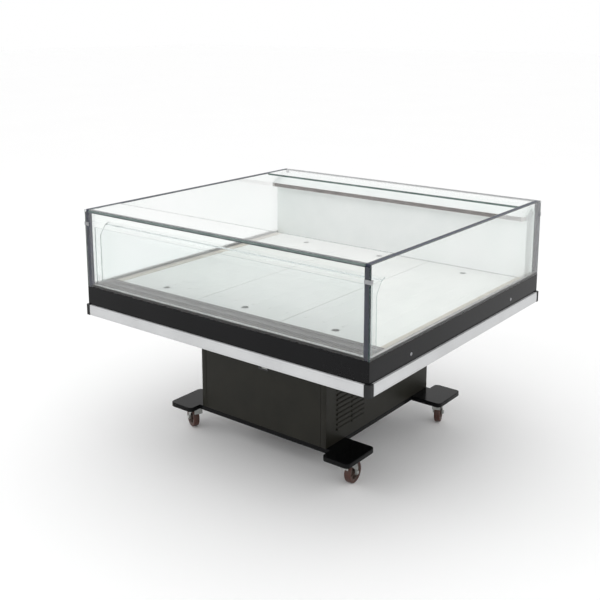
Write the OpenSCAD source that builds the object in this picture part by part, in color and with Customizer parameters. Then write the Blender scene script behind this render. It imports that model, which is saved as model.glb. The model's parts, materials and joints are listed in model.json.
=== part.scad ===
// Open-top refrigerated island with glass sides, on a castor base.
// Millimetres, +Z up. The origin is on the floor, under the middle of the cabinet.
// The long side of the display runs along X, and the air curtain blows from the back (+Y) to the front.

/* [Island] */
// Width over the glass, along X
island_w = 1250; // [1100:10:1600]
// Depth over the glass, along Y
island_d = 1176; // [1100:10:1600]
// Height of the glass top above the floor
island_h = 886; // [800:2:1050]
// Underside of the bumper above the floor
bumper_low = 487; // [470:1:560]

/* [Glass] */
// Thickness of each pane
pane_t = 4; // [3:0.5:6]
// Clear space between the two panes of a wall
pane_gap = 12; // [8:1:16]
// Thickness of the top strips
strip_t = 8; // [6:1:12]
// Width of the top strips
strip_w = 155; // [100:5:200]
// Thickness of the dark edge seal between the panes
seal_t = 3; // [2:0.5:5]
// Height of the metal spacer at the foot of the panes
spacer_h = 9; // [6:1:14]
// Length of a corner clip along the glass
clip_l = 22; // [14:1:30]
// Height of a corner clip
clip_h = 13; // [8:1:20]
// Thickness of a corner clip
clip_t = 1.5; // [1:0.5:3]
// Distance from the glass top down to the clips
clip_drop = 59; // [30:1:100]

/* [Skirt and bumper] */
// Height of the black skirt
skirt_h = 70; // [50:1:100]
// Thickness of the black skirt
skirt_t = 3; // [2:0.5:5]
// Height of the bumper
bumper_h = 39; // [30:1:55]
// How far the bumper stands out past the glass
bumper_out = 8; // [4:1:20]
// Length of a bumper corner cap along each side
cap_l = 22; // [16:1:40]
// Distance of the skirt screws from the ends of a side wall
screw_in = 234; // [100:2:350]

/* [Tub] */
// Thickness of the tub's sheet metal
sheet_t = 1.5; // [1:0.1:2.5]
// Thickness of the foam insulation
foam_t = 40; // [30:1:55]
// How far the lower well stands in from the tub's sides
well_in = 110; // [80:2:160]
// Height of the rim rails that carry the glass
rim_h = 10; // [8:1:16]
// Height of a deck tray
tray_h = 15; // [12:1:25]
// Play round each deck tray
tray_play = 1; // [0.5:0.5:2]
// Bore of the drain
drain_r = 13.5; // [8:0.5:20]

/* [Air system] */
// Distance from the outside of the back glass to the duct panel's face
duct_in = 90; // [70:1:120]
// Distance from the outside of the back glass to the hood's nose
nose_in = 124; // [100:1:150]
// Height of the hood's ridge above the rim
ridge_up = 277; // [200:1:280]
// Distance from the outside of the back glass to the hood's ridge
ridge_in = 46; // [36:1:60]
// Height of the honeycomb outlet
honey_h = 16; // [10:1:30]
// Depth of the honeycomb outlet
honey_l = 24; // [15:1:40]
// Spacing of the honeycomb's slots
honey_pitch = 24; // [12:1:40]
// Distance from the outside of the front glass to the return grille's back edge
grille_in = 102; // [85:1:130]
// Height of the return grille above the rim
grille_h = 8; // [5:1:12]
// Spacing of the return grille's slots
grille_pitch = 24; // [12:1:40]
// Distance from the outside of the front glass to the clear baffle
baffle_in = 55; // [45:1:70]
// Thickness of the clear baffle
baffle_t = 3; // [2:0.5:5]
// Height of the baffle's upright part
baffle_up = 187; // [120:1:220]
// Height of the evaporator block
evap_h = 90; // [60:1:110]
// Radius of an evaporator fan
evap_fan_r = 42; // [30:1:46]

/* [Machine housing] */
// Width of the housing, along X
house_w = 580; // [480:5:700]
// Depth of the housing, along Y
house_d = 678; // [560:5:800]
// Height of the housing between the base and the tub
house_h = 299; // [270:1:340]
// Thickness of the housing's panels
panel_t = 1.5; // [1:0.1:2.5]
// Width of the corner returns on the front and back
return_w = 22; // [15:1:35]
// Leg of the corner posts
post_w = 40; // [30:1:50]
// Thickness of the corner posts
post_t = 3; // [2:0.5:5]
// Rows of air slots in a side panel
slot_rows = 13; // [8:1:13]
// Height of an air slot
slot_h = 8; // [5:0.5:10]
// Spacing of the air slots
slot_pitch = 18; // [14:1:20]
// Length of an air slot
slot_l = 75; // [50:1:90]
// Radius of the condenser fan
cond_fan_r = 90; // [70:1:95]

/* [Base] */
// Top of the base plate above the floor
base_top = 125; // [118:1:140]
// Height of the base plate's turned-down edge
base_edge = 17; // [14:1:25]
// Thickness of the base plate
base_t = 3; // [2:0.5:5]
// Outer end of a foot pad, from the middle along X
pad_x = 415; // [400:1:480]
// Outer side of a foot pad, from the middle along Y
pad_y = 388; // [370:1:450]
// Width of a foot pad, along Y
pad_w = 164; // [140:1:200]
// Length of the wide part of a foot pad, along X
pad_l = 109; // [100:1:110]
// Corner radius of a foot pad
pad_r = 16; // [5:1:30]

/* [Castors] */
// Radius of a castor wheel
wheel_r = 40; // [32:1:42]
// Width of a castor wheel
wheel_w = 24; // [20:1:30]
// Distance from the swivel axis to the axle
trail = 30; // [24:1:36]
// Radius of the axle
axle_r = 5; // [4:0.5:6]
// Radial clearance of axles and shafts in their bores
run_fit = 0.06; // [0.02:0.01:0.1]
// Side of a castor's square top plate
plate_w = 84; // [76:1:90]
// Distance between a top plate's bolts
bolt_gap = 64; // [60:1:68]

/* [Hidden] */
$fn = 48;

// A gap that two parts of different bodies keep, and the overlap that makes a cut run through.
gap = 0.3;
through = 1;

// Levels
skirt_low = bumper_low + bumper_h;
rim_top = skirt_low + skirt_h;
deck_top = rim_top - 2;
tray_low = deck_top - tray_h;
tub_low = base_top + house_h;
wall_t = foam_t + 2 * sheet_t;
well_floor = tub_low + wall_t;
ledge_floor = bumper_low + wall_t;
rim_low = rim_top - rim_h;

// Half widths of the tub, of its cavity and of the well below it
skin_t = pane_t + skirt_t;
igu_t = 2 * pane_t + pane_gap;
tub_x = island_w / 2 - skin_t;
tub_y = island_d / 2 - skin_t;
cavity_x = tub_x - wall_t;
cavity_y = tub_y - wall_t;
well_x = tub_x - well_in;
well_y = tub_y - well_in;
inner_x = island_w / 2 - igu_t;
inner_y = island_d / 2 - igu_t;
strip_low = island_h - strip_t;

// Air system
hood_room = 5;
duct_y = island_d / 2 - duct_in;
nose_y = island_d / 2 - nose_in;
ridge_y = island_d / 2 - ridge_in;
ridge_z = min(rim_top + ridge_up, strip_low - hood_room);
nose_z = ridge_z - 33;
honey_low = nose_z - honey_h - sheet_t;
back_panel_t = 15;
back_panel_y = inner_y - back_panel_t;
hood_foot_z = ridge_z - 37;
grille_back = -island_d / 2 + grille_in;
grille_front = -inner_y;
baffle_y = -island_d / 2 + baffle_in;
baffle_low = rim_top + grille_h + gap;
baffle_outer_y = baffle_y - 24;
beam_w = 20;
ledge_w = 20;
ledge_t = 3;
tray_front = grille_back + tray_play;
tray_back = duct_y - tray_play;
trays = 3;
tray_span = (2 * cavity_x - 2 * tray_play * trays) / trays;

// Evaporator and its fans
evap_w = 800;
evap_l = 240;
evap_y = -60;
evap_low = well_floor;
evap_lift = 10;
fan_plate_y = evap_y - 60;
fan_plate_h = tray_low - ledge_t - 8 - well_floor;
fan_room = 8;
fan_r = min(evap_fan_r, fan_plate_h / 2 - fan_room);
evap_fan_x = 190;
evap_fan_z = well_floor + fan_plate_h / 2;
evap_motor_r = 18;
evap_motor_l = 24;

// Housing
hx = house_w / 2;
hy = house_d / 2;
house_top = tub_low;
front_in = -hy + panel_t;
slot_y = -hy + 64;
slot_z = base_top + 42;
slot_col = slot_l + 14;
cond_t = 44;
cond_w = 220;
cond_h = 240;
cond_x = hx - 10 - cond_t;
cond_y = slot_y - 36;
cond_z = base_top;
shroud_l = 50;
cond_fan_y = cond_y + cond_w / 2;
cond_fan_z = cond_z + cond_h / 2;
comp_r = 72;
comp_x = -hx + 140;
comp_y = -60;
comp_foot = 14;
comp_plate = 3;
comp_low = base_top + comp_foot + comp_plate;
comp_body = 66;
recv_r = 34;
recv_x = 60;
recv_y = 0;
recv_body = 130;
recv_stand = 12;
pipe_r = 6;
fitting_t = 2;
pipe_fit = 0.2;
pipe_in = 3;
suction_x = -60;
liquid_x = 60;
pipe_y = 100;
pipe_z = tub_low - 30;
drain_x = -100;
drain_y = 230;
drain_wall = 2.5;
drain_len = 30;
pan_x0 = -hx + 50;
pan_x1 = 60;
pan_y0 = 90;
pan_h = 50;
pan_t = 2;
pan_face_h = 58;
pan_low = base_top + gap;
box_w = 160;
box_l = 80;
box_h = 190;
box_x = -hx + 50;
box_z = base_top + 75;
gland_x = hx - 90;
gland_z = base_top + 60;
gland_r = 11;
gland_bore_r = 4.5;
ctrl_w = 46;
ctrl_h = 34;
ctrl_x = 13;
ctrl_z = base_top + 235;
ctrl_deep = 30;
ctrl_lip = 1.5;

// Castors
neck_in = 20;
neck_l = max(pad_x - pad_l + pad_r - hx + neck_in, neck_in);
cas_x = pad_x - pad_l / 2;
cas_y = pad_y - pad_w / 2;
base_low = base_top - base_edge;
plate_t = 4;
plate_low = base_low - plate_t;
race_r = 24;
race_low = plate_low - gap - 5;
crown_r = 26;
crown_low = race_low - 6;
leg_t = 3;
leg_in = wheel_w / 2 + 2;
axle_z = wheel_r;
king_r = 5;
king_head_r = 9;
king_head_t = 4;
boss_r = 10;
bolt_r = 4;
bolt_head_r = 6.5;
bolt_head_t = 5.3;
block_w = 90;
brake_t = 3;
brake_pin_r = 2.5;
brake_pin_x = 16;
brake_z = wheel_r * 2 + 6;
brake_w = 2 * (leg_in - 1);
brake_end = trail + 54;
// Corner signs and swivel angle of each castor: the wheel trails along this direction.
corners = [["fl", -1, -1, 155], ["fr", 1, -1, 94], ["bl", -1, 1, 60], ["br", 1, 1, 110]];

// Shapes that repeat

module box3(a, b) {
    translate(a)
        cube([b[0] - a[0], b[1] - a[1], b[2] - a[2]]);
}

module round_rect(x0, y0, x1, y1, r) {
    translate([x0 + r, y0])
        square([x1 - x0 - 2 * r, y1 - y0]);
    translate([x0, y0 + r])
        square([x1 - x0, y1 - y0 - 2 * r]);
    for (x = [x0 + r, x1 - r], y = [y0 + r, y1 - r])
        translate([x, y])
            circle(r);
}

// A flat ring standing between two rectangles
module ring_box(x_out, y_out, x_in, y_in, low, high) {
    difference() {
        box3([-x_out, -y_out, low], [x_out, y_out, high]);
        box3([-x_in, -y_in, low - through], [x_in, y_in, high + through]);
    }
}

module rod(a, b, r) {
    v = b - a;
    l = norm(v);
    translate(a)
        rotate([0, acos(v[2] / l), atan2(v[1], v[0])])
            cylinder(h = l, r = r);
}

// A tube run: straight lengths with a round brazed fitting at each bend
module tube_run(points, r) {
    for (i = [0 : len(points) - 2])
        rod(points[i], points[i + 1], r);
    for (i = [1 : len(points) - 2])
        translate(points[i])
            sphere(r + fitting_t);
}

// An axial fan on the Z axis, its hub's back face at z = 0
module axial_fan(r, hub_r, hub_l, blades, shaft_r) {
    blade_w = r * 0.55;
    difference() {
        union() {
            cylinder(h = hub_l, r = hub_r);
            intersection() {
                for (i = [0 : blades - 1])
                    rotate([0, 0, i * 360 / blades])
                        translate([hub_r - 3, 0, hub_l / 2])
                            rotate([28, 0, 0])
                                translate([0, -blade_w / 2, -0.8])
                                    cube([r, blade_w, 1.6]);
                cylinder(h = hub_l, r = r);
            }
        }
        translate([0, 0, -through])
            cylinder(h = hub_l + 2 * through, r = shaft_r + run_fit);
    }
}

// Base and castors

module base_outline(inset) {
    translate([-hx + inset, -hy + inset])
        square([2 * (hx - inset), 2 * (hy - inset)]);
    for (sx = [0, 1], sy = [0, 1])
        mirror([sx, 0])
            mirror([0, sy]) {
                round_rect(pad_x - pad_l + inset, pad_y - pad_w + inset,
                    pad_x - inset, pad_y - inset, pad_r - inset);
                translate([hx - neck_in + inset, pad_y - pad_w + inset])
                    square([neck_l - 2 * inset, hy - pad_y + pad_w - 2 * inset]);
            }
}

module base_tray() {
    color("#101112") {
        translate([0, 0, base_top - base_t])
            linear_extrude(base_t)
                base_outline(0);
        translate([0, 0, base_low])
            linear_extrude(base_edge - base_t)
                difference() {
                    base_outline(0);
                    base_outline(base_t);
                }
    }
    color("#3a3c3e")
        for (c = corners)
            translate([c[1] * cas_x, c[2] * cas_y, base_low])
                difference() {
                    translate([-block_w / 2, -block_w / 2, 0])
                        cube([block_w, block_w, base_edge - base_t]);
                    bolt_spots()
                        translate([0, 0, -through])
                            cylinder(h = base_edge, r = bolt_r + run_fit);
                }
}

module bolt_spots() {
    for (x = [-1, 1], y = [-1, 1])
        translate([x * bolt_gap / 2, y * bolt_gap / 2, 0])
            children();
}

module castor_plates() {
    color("#b9bcc0")
        for (c = corners)
            translate([c[1] * cas_x, c[2] * cas_y, 0]) {
                difference() {
                    translate([-plate_w / 2, -plate_w / 2, plate_low])
                        cube([plate_w, plate_w, plate_t]);
                    bolt_spots()
                        translate([0, 0, plate_low - through])
                            cylinder(h = plate_t + 2 * through, r = bolt_r + 0.5);
                }
                translate([0, 0, crown_low - gap])
                    cylinder(h = plate_low - crown_low + gap, r = king_r);
                translate([0, 0, crown_low - gap - king_head_t])
                    cylinder(h = king_head_t, r = king_head_r);
            }
}

module fasteners() {
    color("#8d9094") {
        for (c = corners)
            translate([c[1] * cas_x, c[2] * cas_y, 0])
                bolt_spots() {
                    translate([0, 0, plate_low - bolt_head_t])
                        cylinder(h = bolt_head_t, r = bolt_head_r);
                    translate([0, 0, plate_low])
                        cylinder(h = plate_t + base_edge - base_t - 2, r = bolt_r);
                }
        for (sx = [-1, 1], y = [-1, 1])
            translate([sx * tub_x, y * (island_d / 2 - screw_in), skirt_low + 25])
                rotate([0, sx * 90, 0]) {
                    cylinder(h = skin_t, r = 3);
                    translate([0, 0, skin_t])
                        cylinder(h = 2, r = 6);
                }
    }
}

// A castor is drawn with its wheel trailing along +X, then turned to its own angle.
module at_castor(i) {
    c = corners[i];
    translate([c[1] * cas_x, c[2] * cas_y, 0])
        rotate([0, 0, c[3]])
            children();
}

module fork_side(s) {
    translate([0, s > 0 ? leg_in + leg_t : -leg_in, 0])
        rotate([90, 0, 0])
            linear_extrude(leg_t)
                difference() {
                    union() {
                        polygon([[-18, crown_low + 3], [24, crown_low + 3],
                            [trail + boss_r, axle_z], [trail - boss_r, axle_z]]);
                        translate([trail, axle_z])
                            circle(boss_r);
                    }
                    translate([trail, axle_z])
                        circle(axle_r + run_fit);
                    translate([brake_pin_x, brake_z])
                        circle(brake_pin_r + run_fit);
                }
}

module castor_fork(i) {
    at_castor(i) {
        color("#a9acae") {
            difference() {
                union() {
                    translate([0, 0, crown_low])
                        cylinder(h = 6, r = crown_r);
                    translate([0, 0, race_low])
                        cylinder(h = 5, r = race_r);
                    for (s = [-1, 1])
                        fork_side(s);
                    box3([-crown_r - 4, -leg_in - leg_t, crown_low - 22], [-crown_r - 1, leg_in + leg_t, crown_low + 6]);
                    box3([-crown_r - 4, -leg_in, crown_low], [-crown_r + 12, leg_in, crown_low + 6]);
                }
                translate([0, 0, crown_low - through])
                    cylinder(h = 14, r = king_r + run_fit);
            }
        }
        color("#8d9094")
            translate([trail, 0, axle_z])
                rotate([90, 0, 0]) {
                    cylinder(h = 2 * (leg_in + leg_t), r = axle_r, center = true);
                    for (m = [0, 1])
                        mirror([0, 0, m])
                            translate([0, 0, leg_in + leg_t])
                                cylinder(h = 5, r = axle_r + 3.5);
                }
    }
}

module castor_hub(i) {
    color("#5c5450")
        at_castor(i)
            translate([trail, 0, axle_z])
                rotate([90, 0, 0])
                    rotate_extrude()
                        difference() {
                            union() {
                                translate([0, -leg_in + gap])
                                    square([11, 2 * (leg_in - gap)]);
                                translate([0, -4])
                                    square([wheel_r - 9, 8]);
                                translate([wheel_r - 15, -wheel_w / 2 + 2])
                                    square([5, wheel_w - 4]);
                            }
                            translate([-through, -wheel_w])
                                square([axle_r + run_fit + through, 2 * wheel_w]);
                        }
}

module castor_tread(i) {
    color("#4a2c22")
        at_castor(i)
            translate([trail, 0, axle_z])
                rotate([90, 0, 0])
                    rotate_extrude()
                        polygon([[wheel_r - 10, -wheel_w / 2 + 1], [wheel_r - 4, -wheel_w / 2],
                            [wheel_r, -wheel_w / 2 + 5], [wheel_r, wheel_w / 2 - 5],
                            [wheel_r - 4, wheel_w / 2], [wheel_r - 10, wheel_w / 2 - 1],
                            [wheel_r - 10, 4], [wheel_r - 9, 4], [wheel_r - 9, -4], [wheel_r - 10, -4]]);
}

module castor_brake(i) {
    color("#2a2b2d")
        at_castor(i) {
            translate([brake_pin_x, 0, brake_z])
                rotate([90, 0, 0])
                    cylinder(h = 2 * (leg_in + leg_t) + 2, r = brake_pin_r, center = true);
            box3([brake_pin_x - 4, -brake_w / 2, brake_z - brake_t / 2], [brake_end - 10, brake_w / 2, brake_z + brake_t / 2]);
            translate([brake_end - 10, 0, brake_z - brake_t / 2])
                rotate([0, -20, 0])
                    box3([-1, -brake_w / 2 - 3, 0], [18, brake_w / 2 + 3, 5]);
        }
}

// Machine housing

module housing_frame() {
    color("#2b2c2c") {
        for (sx = [0, 1], sy = [0, 1])
            mirror([sx, 0, 0])
                mirror([0, sy, 0])
                    translate([hx - panel_t - post_w, hy - panel_t - post_w, base_top])
                        difference() {
                            cube([post_w, post_w, house_h - post_t]);
                            translate([-through, -through, -through])
                                cube([post_w - post_t + through, post_w - post_t + through, house_h + through]);
                        }
        ring_box(hx - panel_t, hy - panel_t, hx - panel_t - post_w, hy - panel_t - post_w,
            house_top - post_t, house_top);
    }
}

module side_slots() {
    for (c = [0, 1], r = [0 : slot_rows - 1])
        translate([slot_y + c * slot_col, slot_z + r * slot_pitch])
            square([slot_l, slot_h]);
}

module housing_side(s) {
    color("#3c3a31") {
        translate([s > 0 ? hx - panel_t : -hx, 0, 0])
            rotate([90, 0, 90])
                linear_extrude(panel_t)
                    difference() {
                        translate([-hy, base_top])
                            square([2 * hy, house_h]);
                        side_slots();
                    }
        for (sy = [-1, 1])
            translate([s > 0 ? hx - return_w : -hx, sy > 0 ? hy - panel_t : -hy, base_top])
                cube([return_w, panel_t, house_h]);
    }
}

module housing_front() {
    color("#3c3a31")
        difference() {
            box3([-hx + return_w + 1, -hy, base_top], [hx - return_w - 1, front_in, house_top]);
            box3([ctrl_x - ctrl_w / 2 + 3, -hy - through, ctrl_z - ctrl_h / 2 + 3],
                [ctrl_x + ctrl_w / 2 - 3, front_in + through, ctrl_z + ctrl_h / 2 - 3]);
        }
}

module housing_back() {
    color("#3c3a31")
        difference() {
            box3([-hx + return_w + 1, -front_in, base_top], [hx - return_w - 1, hy, house_top]);
            box3([pan_x0 - 3, -front_in - through, base_top - through],
                [pan_x1 + 3, hy + through, base_top + pan_face_h + 1]);
            translate([gland_x, -front_in - through, gland_z])
                rotate([-90, 0, 0])
                    cylinder(h = panel_t + 2 * through, r = gland_r + run_fit);
            for (c = [-1, 0, 1], r = [0 : 7])
                box3([c * slot_col - slot_l / 2, -front_in - through, base_top + 120 + r * slot_pitch],
                    [c * slot_col + slot_l / 2, hy + through, base_top + 120 + slot_h + r * slot_pitch]);
        }
}

module controller() {
    color("#8b8d8a") {
        box3([ctrl_x - ctrl_w / 2, -hy - ctrl_lip, ctrl_z - ctrl_h / 2],
            [ctrl_x + ctrl_w / 2, -hy, ctrl_z + ctrl_h / 2]);
        box3([ctrl_x - ctrl_w / 2 + 3.5, -hy, ctrl_z - ctrl_h / 2 + 3.5],
            [ctrl_x + ctrl_w / 2 - 3.5, -hy + ctrl_deep, ctrl_z + ctrl_h / 2 - 3.5]);
    }
}

module cable_gland() {
    color("#1c1d1e")
        translate([gland_x, 0, gland_z])
            rotate([-90, 0, 0])
                difference() {
                    union() {
                        translate([0, 0, hy - 12])
                            cylinder(h = 12 + 14, r = gland_r);
                        translate([0, 0, hy])
                            cylinder(h = 6, r = gland_r + 5);
                        translate([0, 0, -front_in - 6])
                            cylinder(h = 6, r = gland_r + 5);
                    }
                    translate([0, 0, hy - 20])
                        cylinder(h = 50, r = gland_bore_r);
                }
}

module compressor() {
    color("#1f2022")
        translate([comp_x, comp_y, 0]) {
            for (z = [comp_low + comp_r, comp_low + comp_r + comp_body])
                translate([0, 0, z])
                    sphere(comp_r);
            translate([0, 0, comp_low + comp_r])
                cylinder(h = comp_body, r = comp_r);
            difference() {
                box3([-90, -60, base_top + comp_foot], [90, 60, comp_low + 4]);
                box3([-80, -62, comp_low], [-78, 62, comp_low + 5]);
            }
            for (x = [-76, 76], y = [-48, 48])
                translate([x, y, base_top])
                    cylinder(h = comp_foot, r = 10);
            box3([-comp_r - 16, -22, comp_low + 60], [-comp_r + 10, 22, comp_low + 110]);
        }
}

module condenser() {
    color("#9da0a2") {
        box3([cond_x, cond_y + 6, cond_z + 8], [cond_x + cond_t, cond_y + cond_w - 6, cond_z + cond_h]);
        for (y = [cond_y, cond_y + cond_w - 6])
            box3([cond_x, y, cond_z], [cond_x + cond_t, y + 6, cond_z + cond_h + 6]);
        for (i = [0 : 7])
            translate([cond_x + cond_t / 2, cond_y, cond_z + 32 + i * 26])
                rotate([0, -90, 0])
                    rotate([0, 0, 90])
                        rotate_extrude(angle = 180)
                            translate([9, 0])
                                circle(4);
    }
}

module condenser_shroud() {
    color("#26282a") {
        difference() {
            box3([cond_x - shroud_l, cond_y, cond_z], [cond_x, cond_y + cond_w, cond_z + cond_h + 6]);
            box3([cond_x - shroud_l + 2, cond_y + 2, cond_z + 2], [cond_x + through, cond_y + cond_w - 2, cond_z + cond_h + 4]);
            translate([cond_x - shroud_l - through, cond_fan_y, cond_fan_z])
                rotate([0, 90, 0])
                    cylinder(h = 2 + 2 * through, r = cond_fan_r + 5);
        }
        translate([cond_x - shroud_l - 60, cond_fan_y, cond_fan_z])
            rotate([0, 90, 0]) {
                cylinder(h = 45, r = 34);
                cylinder(h = 88, r = 4);
            }
        for (a = [45, 135, 225, 315])
            translate([cond_x - shroud_l - 23, cond_fan_y, cond_fan_z])
                rotate([a, 0, 0]) {
                    box3([0, 30, -5], [3, cond_fan_r + 14, 5]);
                    box3([0, cond_fan_r + 9, -5], [23, cond_fan_r + 14, 5]);
                }
    }
}

module condenser_fan() {
    color("#3a3f45")
        translate([cond_x - shroud_l - 15 + gap, cond_fan_y, cond_fan_z])
            rotate([0, 90, 0])
                axial_fan(cond_fan_r, 30, 34, 5, 4);
}

module receiver() {
    color("#2e3133")
        translate([recv_x, recv_y, base_top]) {
            difference() {
                cylinder(h = recv_stand + 8, r = recv_r - 6);
                translate([0, 0, -through])
                    cylinder(h = recv_stand - 2, r = recv_r - 9);
            }
            for (z = [recv_stand + recv_r, recv_stand + recv_r + recv_body])
                translate([0, 0, z])
                    sphere(recv_r);
            translate([0, 0, recv_stand + recv_r])
                cylinder(h = recv_body, r = recv_r);
        }
}

module refrigerant_pipes() {
    comp_top = comp_low + 2 * comp_r + comp_body;
    recv_top = base_top + recv_stand + 2 * recv_r + recv_body;
    header_y = cond_y + cond_w;
    run_y = header_y + 24;
    header_x = cond_x + cond_t / 2;
    riser_x = 20;
    color("#b5703f") {
        tube_run([[comp_x, comp_y, comp_top - pipe_in], [comp_x, comp_y, pipe_z],
            [suction_x, pipe_y, pipe_z], [suction_x, pipe_y, evap_low + evap_lift]], pipe_r);
        tube_run([[comp_x + comp_r - pipe_in, comp_y, comp_low + comp_r + 30],
            [riser_x, comp_y, comp_low + comp_r + 30], [riser_x, comp_y, pipe_z],
            [riser_x, run_y, pipe_z], [header_x, run_y, pipe_z],
            [header_x, run_y, cond_z + cond_h - 20], [header_x, header_y, cond_z + cond_h - 20]], pipe_r);
        tube_run([[header_x, header_y, cond_z + 30], [header_x, recv_y, cond_z + 30],
            [recv_x + recv_r - pipe_in, recv_y, cond_z + 30 + 16]], pipe_r);
        tube_run([[recv_x, recv_y, recv_top - pipe_in], [recv_x, recv_y, pipe_z - 20],
            [liquid_x, pipe_y, pipe_z - 20], [liquid_x, pipe_y, evap_low + evap_lift]], pipe_r);
    }
}

module electrical_box() {
    color("#77797b")
        box3([box_x, front_in, box_z], [box_x + box_w, front_in + box_l, box_z + box_h]);
}

module condensate_tray() {
    pan_y1 = hy - panel_t - 1;
    color("#6f7275") {
        difference() {
            box3([pan_x0, pan_y0, pan_low], [pan_x1, pan_y1, pan_low + pan_h]);
            box3([pan_x0 + pan_t, pan_y0 + pan_t, pan_low + pan_t], [pan_x1 - pan_t, pan_y1 - pan_t, pan_low + pan_h + through]);
        }
        box3([pan_x0 - 2, pan_y1, pan_low], [pan_x1 + 2, hy, pan_low + pan_face_h]);
        box3([(pan_x0 + pan_x1) / 2 - 45, hy, pan_low + pan_face_h - 20], [(pan_x0 + pan_x1) / 2 + 45, hy + 8, pan_low + pan_face_h - 12]);
    }
}

// Tub

// The three holes that run down through the tub: two pipes and the drain
module tub_holes(extra) {
    for (x = [suction_x, liquid_x])
        translate([x, pipe_y, tub_low - through])
            cylinder(h = wall_t + 2 * through, r = pipe_r + pipe_fit);
    translate([drain_x, drain_y, tub_low - through])
        cylinder(h = wall_t + 2 * through, r = drain_r + extra);
}

module tub_casing() {
    color("#2e302f")
        difference() {
            union() {
                box3([-tub_x, -tub_y, bumper_low], [tub_x, tub_y, rim_low]);
                box3([-well_x, -well_y, tub_low], [well_x, well_y, bumper_low + through]);
            }
            box3([-tub_x + sheet_t, -tub_y + sheet_t, bumper_low + sheet_t],
                [tub_x - sheet_t, tub_y - sheet_t, rim_low + through]);
            box3([-well_x + sheet_t, -well_y + sheet_t, tub_low + sheet_t],
                [well_x - sheet_t, well_y - sheet_t, bumper_low + 2 * sheet_t]);
            tub_holes(drain_wall);
        }
}

module tub_insulation() {
    step = sheet_t + foam_t;
    color("#e4d9a8")
        difference() {
            union() {
                box3([-tub_x + sheet_t, -tub_y + sheet_t, bumper_low + sheet_t],
                    [tub_x - sheet_t, tub_y - sheet_t, rim_low]);
                box3([-well_x + sheet_t, -well_y + sheet_t, tub_low + sheet_t],
                    [well_x - sheet_t, well_y - sheet_t, bumper_low + 2 * sheet_t]);
            }
            box3([-tub_x + step, -tub_y + step, bumper_low + step],
                [tub_x - step, tub_y - step, rim_low + through]);
            box3([-well_x + step, -well_y + step, tub_low + step],
                [well_x - step, well_y - step, bumper_low + step + through]);
            tub_holes(drain_wall);
        }
}

module tub_liner() {
    step = sheet_t + foam_t;
    color("#dfe2e2") {
        difference() {
            union() {
                box3([-tub_x + step, -tub_y + step, bumper_low + step],
                    [tub_x - step, tub_y - step, rim_low]);
                box3([-well_x + step, -well_y + step, tub_low + step],
                    [well_x - step, well_y - step, bumper_low + step + through]);
            }
            box3([-cavity_x, -cavity_y, ledge_floor], [cavity_x, cavity_y, rim_low + through]);
            box3([-well_x + wall_t, -well_y + wall_t, well_floor],
                [well_x - wall_t, well_y - wall_t, ledge_floor + through]);
            tub_holes(0);
        }
        translate([drain_x, drain_y, tub_low - drain_len])
            difference() {
                cylinder(h = foam_t + sheet_t + drain_len, r = drain_r + drain_wall);
                translate([0, 0, -through])
                    cylinder(h = foam_t + drain_len + 10, r = drain_r);
            }
    }
}

module rim_rails() {
    color("#c9bfae")
        for (s = [0, 1])
            mirror([s, 0, 0])
                box3([cavity_x, -tub_y, rim_low], [tub_x, tub_y, rim_top]);
    color("#b4b6b6")
        for (s = [0, 1])
            mirror([0, s, 0])
                box3([-cavity_x, cavity_y, rim_low], [cavity_x, tub_y, rim_top]);
}

module skirt_hole(s) {
    for (y = [-1, 1])
        translate([s * (tub_x - through), y * (island_d / 2 - screw_in), skirt_low + 25])
            rotate([0, s * 90, 0])
                cylinder(h = skin_t + 2 * through, r = 3 + run_fit);
}

module skirt_panels() {
    color("#161616") {
        for (s = [-1, 1])
            difference() {
                box3([s > 0 ? tub_x : -tub_x - skirt_t, -tub_y - skirt_t, skirt_low],
                    [s > 0 ? tub_x + skirt_t : -tub_x, tub_y + skirt_t, rim_top]);
                skirt_hole(s);
            }
        for (s = [0, 1])
            mirror([0, s, 0])
                box3([-tub_x, tub_y, skirt_low], [tub_x, tub_y + skirt_t, rim_top]);
    }
}

module bumper_rails() {
    out_x = island_w / 2 + bumper_out;
    out_y = island_d / 2 + bumper_out;
    color("#c6c8c8") {
        for (s = [0, 1])
            mirror([s, 0, 0])
                box3([tub_x, -out_y + cap_l, bumper_low], [out_x, out_y - cap_l, skirt_low]);
        for (s = [0, 1])
            mirror([0, s, 0])
                box3([-out_x + cap_l, tub_y, bumper_low], [out_x - cap_l, out_y, skirt_low]);
    }
}

module bumper_caps() {
    out_x = island_w / 2 + bumper_out;
    out_y = island_d / 2 + bumper_out;
    cap_r = bumper_out;
    color("#4b4c4e")
        for (sx = [0, 1], sy = [0, 1])
            mirror([sx, 0, 0])
                mirror([0, sy, 0])
                    translate([0, 0, bumper_low])
                        linear_extrude(bumper_h)
                            difference() {
                                union() {
                                    translate([out_x - cap_l, out_y - cap_l])
                                        square([cap_l - cap_r, cap_l]);
                                    translate([out_x - cap_l, out_y - cap_l])
                                        square([cap_l, cap_l - cap_r]);
                                    translate([out_x - cap_r, out_y - cap_r])
                                        circle(cap_r);
                                }
                                translate([0, 0])
                                    square([tub_x, tub_y]);
                            }
}

// Glass walls

// The front and back walls. Each wall is an outer pane that runs down over the skirt, and an inner pane.
module glass_ends() {
    edge = island_w / 2 - pane_t;
    color([0.75, 0.85, 0.83, 0.35])
        for (s = [0, 1])
            mirror([0, s, 0]) {
                box3([-edge, -island_d / 2, skirt_low], [edge, -island_d / 2 + pane_t, strip_low]);
                box3([-inner_x, -inner_y - pane_t, rim_top], [inner_x, -inner_y, strip_low]);
            }
}

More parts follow.
